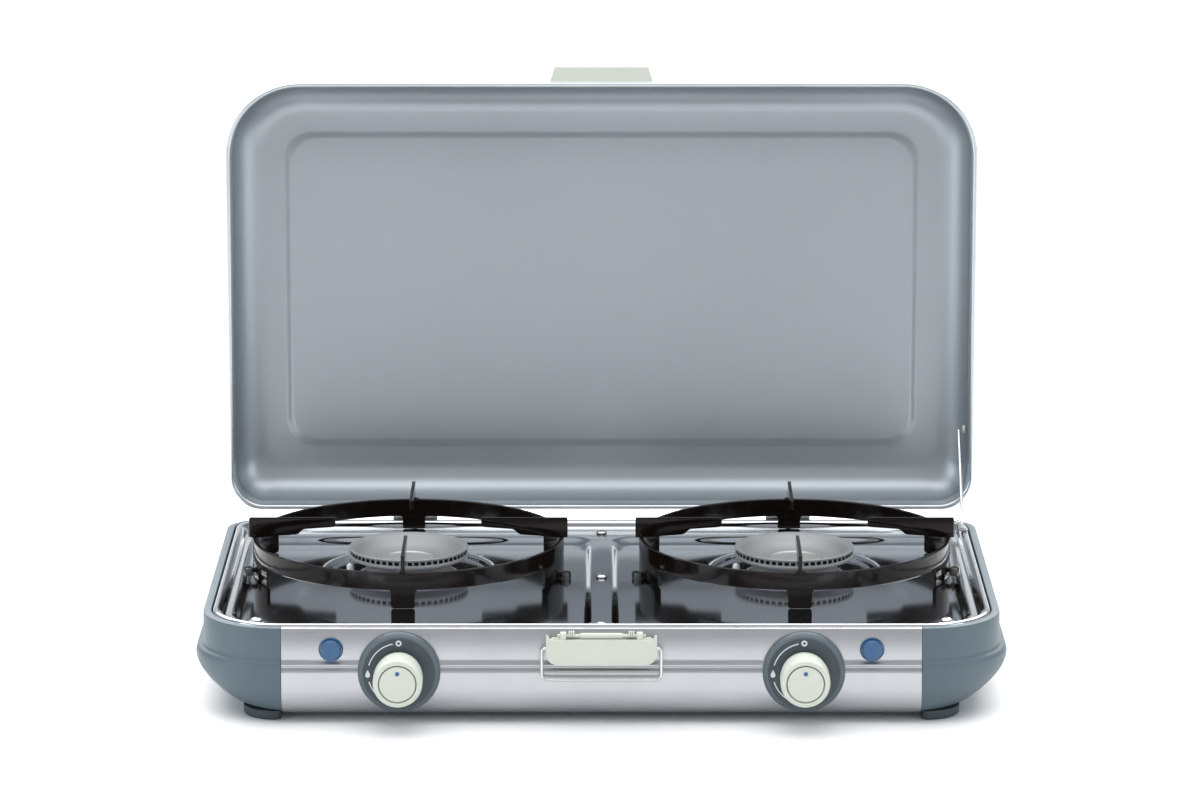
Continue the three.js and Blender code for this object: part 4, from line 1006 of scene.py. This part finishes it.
def latch_lever(pin_y, pin_z):
    """The plain handle: its face, and behind it two cheeks, two strips and two eyes for the rod."""
    w, low, top, face = LEVER_HALF_WIDTH, LEVER_BOTTOM_Z, LEVER_TOP_Z, LEVER_FACE_Y
    # each end of the face's upper edge rises into a small horn
    half = [(w - 5.2, top), (w - 2.0, 61.4), (w - 1.15, 63.4), (w - 0.3, 63.4), (w, 62.2), (w, low)]
    radii = [1.5, 2.0, 0.25, 0.25, 0.5, 10.5]
    outline = half + [(-u, v) for u, v in reversed(half)]
    outline = rounded(outline, radii + radii[::-1], 8, closed=True)
    shape = Shape().add(plate(outline, lambda u, v, t: (u, face + t, v), 2, 0.2))
    rear = PANEL_Y - 4
    cheek = [(face + 0.6, 49), (face + 0.6, 62.6), (face + 2.2, 63.2), (rear, 60.4), (rear, 50)]
    cheek = rounded(cheek, [0.8, 0.8, 1.0, 1.6, 2], 4, closed=True)
    eye = rounded([(1.7, -2), (2.9, -2), (2.9, 2), (1.7, 2)], 0.35, 3, closed=True)
    for s in (-1, 1):
        x0 = min(s * w, s * (w - 1.8))
        shape.add(plate(cheek, lambda u, v, t, x0=x0: (x0 + t, u, v), 1.8, 0.4))
        strip0, strip1 = sorted((s * 24, s * (w - 3.6)))
        shape.add(block(strip0, strip1, face + 1.5, face + 4.4, 57.4, 61.4, 0.4))
        lug_x = s * LATCH_LUG_X
        shape.add(ring_lathe(eye, 36), turn=lying(lug_x, pin_y, pin_z))
        shape.add(block(lug_x - 2, lug_x + 2, face + 1, pin_y - 1.9, 57.5, pin_z + 0.5, 0.3))
    piece("latch_handle", "lever", shape, [IVORY], ["latch_lever"])


def latch_bail():
    """The bright wire loop that hangs from the lever's cheeks."""
    y, z = BAIL_PIVOT
    wide, bottom = BAIL_HALF_WIDTH, z - BAIL_LENGTH
    half = [(34.2, y, z), (wide, y, z), (wide, y, bottom), (0, y, bottom)]
    other = [(-a, b, c) for a, b, c in reversed(half)][1:]
    path = rounded(half + other, [0, 2.6, 4.4, 0, 4.4, 2.6, 0], 8)
    shape = Shape().add(tube(path, BAIL_RADIUS, 16))
    piece("latch_loop", "bail", shape, [PLATED], ["latch_bail"])


# -------- lid
def lid_ring(inset, height):
    """The lid's outline, moved in by inset, at a height above its rim."""
    front = max(FRONT_CORNER - inset, 20)
    rear = max(REAR_CORNER - inset * 0.35, 17) if inset < 35 else 20
    x, z = LID_HALF_WIDTH - inset, LID_RIM_Z + height
    return rounded_ring(-x, x, LID_FRONT_Y + inset, LID_REAR_Y - inset, z, (rear, rear, front, front), 18)


def lid():
    """The pressed tray, drawn shut and turned open: deep coves, a sunk panel and a rolled rim."""

    def section(thick):
        radius = LID_COVE - thick
        top = LID_DEPTH - thick
        turns = [math.pi / 2 * k / 16 for k in range(17)]
        middle = (3.2 + LID_COVE, LID_DEPTH - LID_COVE)
        cove = [(middle[0] - radius * math.cos(a), middle[1] + radius * math.sin(a)) for a in turns]
        step = [(39.6 + 6 * k / 10, top - PANEL_STEP * smooth(k / 10)) for k in range(11)]
        return cove + step + [(70, top - PANEL_STEP)]

    inside = section(LID_SHEET)[::-1]
    bead = arc(1.75, 1.75, 1.75, 48, -218, 18)
    rim = [(3.8, 6), (3.3, 4.3)] + bead + [(1.25, 4.2), (1.9, 6)]
    outside = section(0)
    skins = [(inside, (True, False), 0), ([inside[-1]] + rim + [outside[0]], (False, False), 1)]
    skins.append((outside, (False, True), 0))
    shape = Shape()
    for profile, ends, paint in skins:
        shape.add(loft([lid_ring(*p) for p in profile], ends), paint)
    piece("lid_pan", "lid", shape, [LID_ALLOY, LID_RIM_STEEL], ["lid_shell"], 40, LID_TURN)


def lid_catch():
    """The hooked plate on the lid's front edge that the latch holds: it narrows towards its tip."""
    root, tip = LID_FRONT_Y - 0.35, LID_FRONT_Y - 11.5
    low, high = LID_RIM_Z + 0.5, LID_RIM_Z + 3.5
    foot_points = [(root, low), (root, high + 9), (root - 1.6, high + 9), (root - 1.6, high)]
    hook = [(tip + 6.4, high), (tip + 5.2, high + 3), (tip + 3, high + 3), (tip, high), (tip, low)]
    outline = rounded(foot_points + hook, [0.4, 0.5, 0.5, 1.2, 1.5, 0.9, 0.9, 1.2, 0.8], 4, closed=True)
    rings = []
    for k in range(-10, 11):
        ring = []
        for y, z in outline:
            x = (37 - 3.5 * (root - y) / (root - tip)) * k / 10
            if abs(k) == 10:
                y, z = root + (y - root) * 0.985, low + 0.12 + (z - low) * 0.98
            ring.append((x, y, z))
        rings.append(ring)
    shape = Shape().add(loft(rings))
    piece("lid_catch_lip", "lid", shape, [IVORY], ["lid_catch"], 34, LID_TURN)


def stay():
    """The wire prop at the right, its bracket on the hob's rim and its bush in the lid's wall."""
    lean = Matrix.Translation((0, *STAY_PIVOT)) @ Matrix.Rotation(STAY_ANGLE, 4, "X")
    path = rounded([(253.4, 0, 0), (STAY_X - 0.2, 0, 0), (STAY_X, STAY_LENGTH - 1, 0)], 3, 8)
    shape = Shape().add(tube(path, 1.1, 16))
    piece("stay_wire", "stay", shape, [PLATED], ["lid_stay"], turn=lean)

    y, z = STAY_PIVOT
    base_z, tab_x = 67.35, 254.6
    shape = Shape().add(block(tab_x, 262.6, y - 4, y + 4, base_z, base_z + 1.2, 0.35))
    tab = [(y - 3.2, base_z + 0.25), (y - 3.2, z + 3.2), (y + 3.2, z + 3.2), (y + 3.2, base_z + 0.25)]
    tab = rounded(tab, [0, 2.9, 2.9, 0], 6, closed=True)
    shape.add(plate(tab, lambda u, v, w: (tab_x + w, u, v), 1.8, 0.3))
    piece("stay_bracket", "base", shape, [PLATED], ["stay_anchor"])

    bush_x = 261.7
    bush = [(1.5, bush_x), (2.6, bush_x), (3.2, bush_x + 0.5), (3.2, bush_x + 1.8), (1.5, bush_x + 1.8)]
    bush = rounded(bush, [0.2, 0.4, 0.4, 0.2, 0], 4, closed=True)
    shape = Shape().add(ring_lathe(bush, 32), turn=lying(0, HINGE.y - 60, LID_RIM_Z + 15))
    piece("stay_grommet", "lid", shape, [IVORY], ["stay_bush"], turn=LID_TURN)


# -------- everything
def paint_cad_nodes():
    """Gives every CAD node a finish of its slot, also the hidden and inner ones."""
    slots = {entry["node"]: entry["material_slot"] for entry in frame["record"]["subparts"]}
    for name, node in frame["nodes"].items():
        finish = SLOT_FINISH[slots[name]]
        if not node.material_slots:
            node.data.materials.append(finish)
        for entry in node.material_slots:
            entry.material = finish


paint_cad_nodes()
body_shell()
hob_plate()
hob_screws()
for word, side in SIDES:
    end_cap(word, side)
    for end in (-1, 1):
        foot(word, side, end)
    burner(word, side)
    pan_support(word, side)
    dial(word, side)
    knob(word, side)
    igniter(word, side)
latch_bracket(*LATCH_PIN)
latch_rod(*LATCH_PIN)
latch_lever(*LATCH_PIN)
latch_bail()
lid()
lid_catch()
stay()


# -------- stage, light and camera
def stage_plane():
    """A pale floor that sweeps up into a backdrop well behind the stove."""
    sweep = arc(6, 1.5, 1.5, -90, 0, 12)
    profile = [(-6, 0)] + sweep + [(7.5, 5)]
    mesh = bpy.data.meshes.new("floor_sweep")
    points = [(x, y, z - 0.0002) for y, z in profile for x in (-9, 9)]
    faces = [(2 * i, 2 * i + 1, 2 * i + 3, 2 * i + 2) for i in range(len(profile) - 1)]
    mesh.from_pydata(points, [], faces)
    mesh.shade_smooth()
    floor = bpy.data.objects.new("floor_sweep", mesh)
    bpy.context.scene.collection.objects.link(floor)
    pale, shade = (0.86, 0.86, 0.86, 1), (0.84, 0.84, 0.84, 1)
    mesh.materials.append(material("studio_floor", pale, shade, roughness=(0.8, 0.9), patch=2))


def softbox(name, place, target, size, power, color=(1, 1, 1)):
    """A rectangular area light at a place, pointed at a target."""
    light = bpy.data.lights.new(name, "AREA")
    light.shape = "RECTANGLE"
    light.size, light.size_y = size
    light.energy = power
    light.color = color
    lamp = bpy.data.objects.new(name, light)
    lamp.location = place
    lamp.rotation_euler = (Vector(target) - Vector(place)).to_track_quat("-Z", "Y").to_euler()
    bpy.context.scene.collection.objects.link(lamp)


stage_plane()
softbox("overhead", (0, 0.1, 2.6), (0, 0, 0), (4.2, 3.2), 104)
softbox("key_light", (-2.3, -1.2, 0.9), (0, 0.1, 0.25), (1.2, 1.4), 17, (0.84, 0.94, 1.0))
softbox("fill_light", (2.3, -1.2, 0.9), (0, 0.1, 0.25), (1.2, 1.4), 14, (0.84, 0.94, 1.0))
softbox("front_light", (0, -4.2, 1.6), (0, 0, 0.2), (2.4, 0.7), 6)
softbox("rear_light", (0, 1.5, 1.5), (0, 0.5, 0), (2.4, 0.8), 26)
softbox("backdrop_light", (0, 3.6, 2.6), (0, 3.2, 0), (7, 4), 330)

world = bpy.data.worlds.new("studio")
bpy.context.scene.world = world
world.use_nodes = True
world.node_tree.nodes["Background"].inputs["Color"].default_value = (0.93, 0.96, 1.0, 1)
world.node_tree.nodes["Background"].inputs["Strength"].default_value = 0.5

bpy.context.scene.view_settings.view_transform = "Standard"

# a long lens, a little above the stove and turned down to it
CAMERA_PLACE, CAMERA_DOWN, CAMERA_LENS, CAMERA_SHIFT = (0, -3.5431, 0.9612), 12.33, 157.206, -0.00125
camera = bpy.data.cameras.new("photo_camera")
camera.lens = CAMERA_LENS
camera.sensor_width = 36
camera.shift_x = CAMERA_SHIFT
camera.clip_end = 50
eye = bpy.data.objects.new("photo_camera", camera)
eye.location = CAMERA_PLACE
eye.rotation_euler = (math.radians(90 - CAMERA_DOWN), 0, 0)
bpy.context.scene.collection.objects.link(eye)
bpy.context.scene.camera = eye
